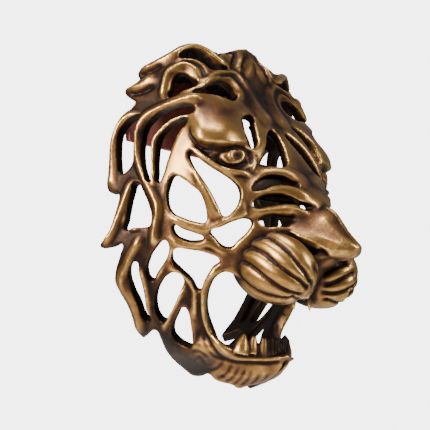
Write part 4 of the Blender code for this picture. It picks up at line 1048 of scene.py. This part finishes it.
def bulge(points, normals, edges, rounds):
    """How far each point stands out from its smoothed surroundings, in millimetres."""
    smooth = points
    for _ in range(rounds):
        smooth = 0.5 * smooth + 0.5 * neighbour_mean(smooth, edges)
    return ((points - smooth) * normals).sum(axis=1) / MM


def openness(mesh, points, normals):
    """How empty the space in front of each point is, from 0 in a tight hollow to 1 in the open."""
    centres = values_of(mesh.polygons, "center", 3)
    areas = values_of(mesh.polygons, "area", 1)[:, 0]
    low = points.min(axis=0) / MM - SHADE_MARGIN
    cells = ((centres / MM - low) / SHADE_CELL).astype(int)
    size = ((points.max(axis=0) / MM + SHADE_MARGIN - low) / SHADE_CELL).astype(int) + 1
    surface = np.zeros(size)
    np.add.at(surface, tuple(cells.T), areas / MM**2)
    for axis in range(3):
        for _ in range(SHADE_ROUNDS):
            total = np.cumsum(surface, axis=axis)
            surface = np.roll(total, -SHADE_BLUR, axis) - np.roll(total, SHADE_BLUR + 1, axis)
            surface /= 2 * SHADE_BLUR + 1
    place = ((points / MM + normals * SHADE_REACH - low) / SHADE_CELL).astype(int)
    return 1 - np.clip(surface[tuple(place.T)] / SHADE_FULL, 0, 1)


def add_finish_values(mesh):
    """Writes the values that the finish reads: gilding, nearness to the face, openness for the painted
    occlusion shade, and bulge.
    """
    points = points_of(mesh)
    normals = values_of(mesh.vertex_normals, "vector", 3)
    edges = edges_of(mesh)
    design = np.stack([
        points[:, 0] / MM, WALL_PLACE - points[:, 1] / MM, points[:, 2] / MM + MOUNT_HEIGHT,
    ], axis=1)
    depth = outside_by(design)
    front = step_up(*FACE_FROM, design[:, 1])
    crest = MANE_FLOOR + (1 - MANE_FLOOR) * step_up(*MANE_GILDED, depth)
    gilded = np.clip((depth - BARE_BELOW) / (GILDED_ABOVE - BARE_BELOW), 0, 1)
    gilded = gilded * (front + (1 - front) * crest)
    # This openness drives the painted occlusion shade of the finish.
    shade_openness = openness(mesh, points, normals)
    for _ in range(OPENNESS_ROUNDS):
        shade_openness = 0.5 * shade_openness + 0.5 * neighbour_mean(shade_openness, edges)
    written = {
        "gilded": gilded,
        "front": front,
        "shade_openness": shade_openness,
        "fine_bulge": bulge(points, normals, edges, FINE_BULGE_ROUNDS),
        "broad_bulge": bulge(points, normals, edges, BROAD_BULGE_ROUNDS),
    }
    for name, values in written.items():
        layer = mesh.attributes.new(name, "FLOAT", "POINT")
        layer.data.foreach_set("value", values.astype(np.float32))


class Nodes:
    """Short ways to add and join shader nodes."""

    def __init__(self, name):
        self.material = bpy.data.materials.new(name)
        self.material.use_nodes = True
        self.tree = self.material.node_tree
        self.shader = self.tree.nodes["Principled BSDF"]

    def link(self, source, target):
        """Joins an output to an input."""
        self.tree.links.new(source, target)

    def value(self, name):
        """A value written on the mesh."""
        node = self.tree.nodes.new("ShaderNodeAttribute")
        node.attribute_name = name
        return node.outputs["Fac"]

    def noise(self, scale, detail, roughness=0.55):
        """Noise in the object's own space."""
        place = self.tree.nodes.new("ShaderNodeTexCoord")
        node = self.tree.nodes.new("ShaderNodeTexNoise")
        node.inputs["Scale"].default_value = scale
        node.inputs["Detail"].default_value = detail
        node.inputs["Roughness"].default_value = roughness
        self.link(place.outputs["Object"], node.inputs["Vector"])
        return node.outputs["Fac"]

    def scaled(self, source, from_low, from_high, to_low=0.0, to_high=1.0):
        """A value taken from one range to another, and kept inside it."""
        node = self.tree.nodes.new("ShaderNodeMapRange")
        node.inputs["From Min"].default_value = from_low
        node.inputs["From Max"].default_value = from_high
        node.inputs["To Min"].default_value = to_low
        node.inputs["To Max"].default_value = to_high
        self.link(source, node.inputs["Value"])
        return node.outputs["Result"]

    def maths(self, kind, first, second):
        """A sum, product or other step on two values."""
        node = self.tree.nodes.new("ShaderNodeMath")
        node.operation = kind
        node.use_clamp = kind in ("ADD", "SUBTRACT")
        for socket, source in zip(node.inputs, (first, second)):
            if isinstance(source, (int, float)):
                socket.default_value = source
            else:
                self.link(source, socket)
        return node.outputs[0]

    def mixed(self, share, first, second):
        """Two colours mixed by a share."""
        node = self.tree.nodes.new("ShaderNodeMix")
        node.data_type = "RGBA"
        self.link(share, node.inputs[0])
        for socket, source in zip((node.inputs[6], node.inputs[7]), (first, second)):
            if isinstance(source, tuple):
                socket.default_value = (*source, 1.0)
            else:
                self.link(source, socket)
        return node.outputs[2]


def antique_gold():
    """Gilding rubbed bright on the ridges with a painted highlight there, and brown patina that turns black
    in the hollows, darkened further by painted occlusion shade where much surface crowds the space in front.
    """
    nodes = Nodes("antique_gold")
    mottle = nodes.noise(120.0, 6.0)
    # Painted occlusion shade: the finish darkens towards patina where much surface crowds the space in front
    # of a point.
    occlusion_shade = nodes.scaled(nodes.value("shade_openness"), 0.55, 0.94)
    hollow = nodes.scaled(nodes.value("fine_bulge"), -0.14, 0.14)
    broad = nodes.scaled(nodes.value("broad_bulge"), -0.4, 1.3)
    lit = nodes.maths("MULTIPLY", nodes.maths("MULTIPLY", occlusion_shade, hollow), nodes.value("gilded"))
    lit = nodes.maths("MULTIPLY", lit, nodes.scaled(broad, 0.0, 1.0, 0.35, 1.1))
    lit = nodes.maths("MULTIPLY", lit, nodes.scaled(nodes.value("front"), 0.0, 1.0, 0.8, 1.05))
    lit = nodes.maths("ADD", lit, nodes.scaled(mottle, 0.3, 0.7, -0.10, 0.10))
    colour = nodes.mixed(nodes.scaled(lit, 0.04, 0.36), PATINA, BROWN)
    colour = nodes.mixed(nodes.scaled(lit, 0.30, 0.85), colour, GOLD)
    # Pale gold on sharp, open crests: partly rubbed wear, partly a painted highlight.
    wear_and_highlight = nodes.scaled(nodes.value("fine_bulge"), 0.16, 0.42)
    wear_and_highlight = nodes.maths("MULTIPLY", wear_and_highlight, nodes.scaled(lit, 0.3, 0.8))
    colour = nodes.mixed(wear_and_highlight, colour, WORN_GOLD_AND_HIGHLIGHT)
    nodes.link(colour, nodes.shader.inputs["Base Color"])
    nodes.shader.inputs["Metallic"].default_value = 0.88
    nodes.link(nodes.scaled(lit, 0.0, 0.8, 0.5, 0.3), nodes.shader.inputs["Roughness"])
    bump = nodes.tree.nodes.new("ShaderNodeBump")
    bump.inputs["Strength"].default_value = 0.25
    bump.inputs["Distance"].default_value = 0.0004
    nodes.link(nodes.noise(700.0, 4.0), bump.inputs["Height"])
    nodes.link(bump.outputs["Normal"], nodes.shader.inputs["Normal"])
    return nodes.material


def plate_finish():
    """Dull red-brown primer with faint dirt."""
    nodes = Nodes("red_brown_plate")
    dirt = nodes.scaled(nodes.noise(60.0, 5.0), 0.35, 0.75, 0.0, 0.45)
    nodes.link(nodes.mixed(dirt, PLATE_RED, PATINA), nodes.shader.inputs["Base Color"])
    nodes.shader.inputs["Roughness"].default_value = 0.6
    return nodes.material


def pale_floor_finish():
    """Plain pale matt paint."""
    nodes = Nodes("pale_floor")
    nodes.shader.inputs["Base Color"].default_value = (0.86, 0.86, 0.86, 1.0)
    nodes.shader.inputs["Roughness"].default_value = 0.9
    return nodes.material


def largest_body_only(mesh):
    """Keeps the largest joined body of the mesh and removes loose crumbs."""
    edges = edges_of(mesh)
    label = np.arange(len(mesh.vertices))
    while True:
        low = np.minimum(label[edges[:, 0]], label[edges[:, 1]])
        before = label.copy()
        np.minimum.at(label, edges[:, 0], low)
        np.minimum.at(label, edges[:, 1], low)
        label = label[label]
        if (label == before).all():
            break
    names, counts = np.unique(label, return_counts=True)
    largest = names[counts.argmax()]
    bm = bmesh.new()
    bm.from_mesh(mesh)
    bm.verts.ensure_lookup_table()
    loose = [bm.verts[index] for index in np.flatnonzero(label != largest)]
    bmesh.ops.delete(bm, geom=loose, context="VERTS")
    bm.to_mesh(mesh)
    bm.free()


def with_nostrils(points):
    """These scene points with the two nostrils pressed into the nose."""
    for side in (-1, 1):
        middle = np.array(to_scene(on_side(NOSTRIL_MIDDLE, side)))
        way = on_side(NOSTRIL_WAY, side) * np.array([1, -1, 1])
        away = points - middle
        along = away @ way
        aside = np.linalg.norm(away - along[:, None] * way, axis=1) / (NOSTRIL_HALF_WIDTH * MM)
        near = np.clip(1 - aside**2, 0, 1) * (np.abs(along) < NOSTRIL_DEPTH * MM)
        points = points + (near * NOSTRIL_DEPTH * MM)[:, None] * way
    return points


def blended(points, edges):
    """These scene points smoothed where unlike forms run into each other."""
    for middle, reach, rounds in BLENDED:
        for side in (-1, 1):
            centre = np.array(to_scene(on_side(middle, side)))
            away = np.linalg.norm(points - centre, axis=1) / (reach * MM)
            share = (BLEND_STRENGTH * (1 - step_up(BLEND_FULL_WITHIN, 1.0, away)))[:, None]
            for _ in range(rounds):
                points = points * (1 - share) + neighbour_mean(points, edges) * share
    return points


def make_mask():
    """The lion head as one fine mesh inside the CAD part's box."""
    bm = half_shell()
    add_middle_parts(bm)
    mirrored_copy(bm)
    mask = bm_to_object(bm, "lion_mask_fine")
    remesh = mask.modifiers.new("one body", "REMESH")
    remesh.mode = "VOXEL"
    remesh.voxel_size = REMESH_STEP * MM
    ease = mask.modifiers.new("ease", "SMOOTH")
    ease.factor = EASE_FACTOR
    ease.iterations = EASE_ROUNDS
    applied(mask)
    largest_body_only(mask.data)
    fewer = mask.modifiers.new("fewer faces", "DECIMATE")
    fewer.ratio = MASK_TRIANGLES / (2 * len(mask.data.polygons))
    fewer.use_collapse_triangulate = True
    applied(mask)
    low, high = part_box("lion_mask")
    points = with_nostrils(blended(points_of(mask.data), edges_of(mask.data)))
    points = np.clip(points, np.array(low), np.array(high))
    mask.data.vertices.foreach_set("co", points.ravel())
    mask.data.polygons.foreach_set("use_smooth", np.ones(len(mask.data.polygons), bool))
    mask.data.update()
    add_finish_values(mask.data)
    mask.data.materials.append(antique_gold())
    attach(mask, "root")
    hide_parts("lion_mask")


def make_plate():
    """The hanging plate with its nail hole and softened edges."""
    turns = [math.tau * index / NAIL_HOLE_SIDES for index in range(NAIL_HOLE_SIDES)]
    hole = [
        (NAIL_HOLE_RADIUS * math.cos(turn), NAIL_HOLE_HEIGHT + NAIL_HOLE_RADIUS * math.sin(turn))
        for turn in turns
    ]
    outline = PLATE_HALF + [(-across, up) for across, up in PLATE_HALF[::-1]]
    bm = filled_drawing([outline, hole], smooth=False, thickness=PLATE_FRONT - PLATE_BACK)
    for vert in bm.verts:
        across, up, depth = vert.co
        vert.co = (across, (PLATE_FRONT + PLATE_BACK) / 2 + depth, up)
    plate = bm_to_object(bm, "hanging_plate_fine")
    soft = plate.modifiers.new("soft edges", "BEVEL")
    soft.width = PLATE_BEVEL * MM
    soft.segments = 2
    plate.data.materials.append(plate_finish())
    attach(plate, "root")
    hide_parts("hanging_plate")


def to_scene(point):
    """A design point in millimetres as a place in the scene."""
    return Vector((point[0] * MM, (WALL_PLACE - point[1]) * MM, (point[2] - MOUNT_HEIGHT) * MM))


def facing_head(name, data, place):
    """A light or camera at this design place, turned to the middle of the head."""
    made = new_object(name, data)
    made.location = to_scene(place)
    made.rotation_euler = (to_scene(SHEET_MIDDLE) - made.location).to_track_quat("-Z", "Y").to_euler()
    return made


def make_studio():
    """The pale floor, even light and background, soft lights and the camera."""
    bpy.ops.mesh.primitive_plane_add(size=FLOOR_SIZE, location=(0, 0, FLOOR_HEIGHT))
    floor = bpy.context.object
    floor.name = "floor"
    floor.data.materials.append(pale_floor_finish())

    world = bpy.data.worlds.new("studio")
    world.use_nodes = True
    tree = world.node_tree
    background = tree.nodes["Background"]
    seen = tree.nodes.new("ShaderNodeLightPath")
    strength = tree.nodes.new("ShaderNodeMix")
    strength.inputs[2].default_value = WORLD_LIGHT
    strength.inputs[3].default_value = WORLD_SEEN
    tree.links.new(seen.outputs["Is Camera Ray"], strength.inputs[0])
    tree.links.new(strength.outputs[0], background.inputs["Strength"])
    background.inputs["Color"].default_value = (1.0, 1.0, 1.0, 1.0)
    bpy.context.scene.world = world

    for name, (right, up, towards), sides, power, colour in LIGHTS:
        light = bpy.data.lights.new(name, "AREA")
        light.shape = "RECTANGLE"
        light.color = colour
        light.size, light.size_y = (side * MM for side in sides)
        light.energy = power
        facing_head(name, light, SHEET_MIDDLE + right * SHEET_RIGHT + up * SHEET_UP + towards * TO_EYE)

    lens = bpy.data.cameras.new("camera")
    lens.sensor_width = SENSOR_WIDTH
    lens.lens = SENSOR_WIDTH * EYE_DISTANCE / PICTURE_WIDTH
    lens.clip_start = 0.05
    bpy.context.scene.camera = facing_head("camera", lens, EYE)


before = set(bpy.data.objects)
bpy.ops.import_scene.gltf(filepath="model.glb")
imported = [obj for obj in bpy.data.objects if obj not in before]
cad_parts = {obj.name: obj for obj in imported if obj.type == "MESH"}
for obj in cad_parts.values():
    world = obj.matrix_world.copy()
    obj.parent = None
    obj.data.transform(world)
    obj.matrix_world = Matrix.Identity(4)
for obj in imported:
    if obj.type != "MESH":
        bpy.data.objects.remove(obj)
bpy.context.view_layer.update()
make_mask()
make_plate()
make_studio()
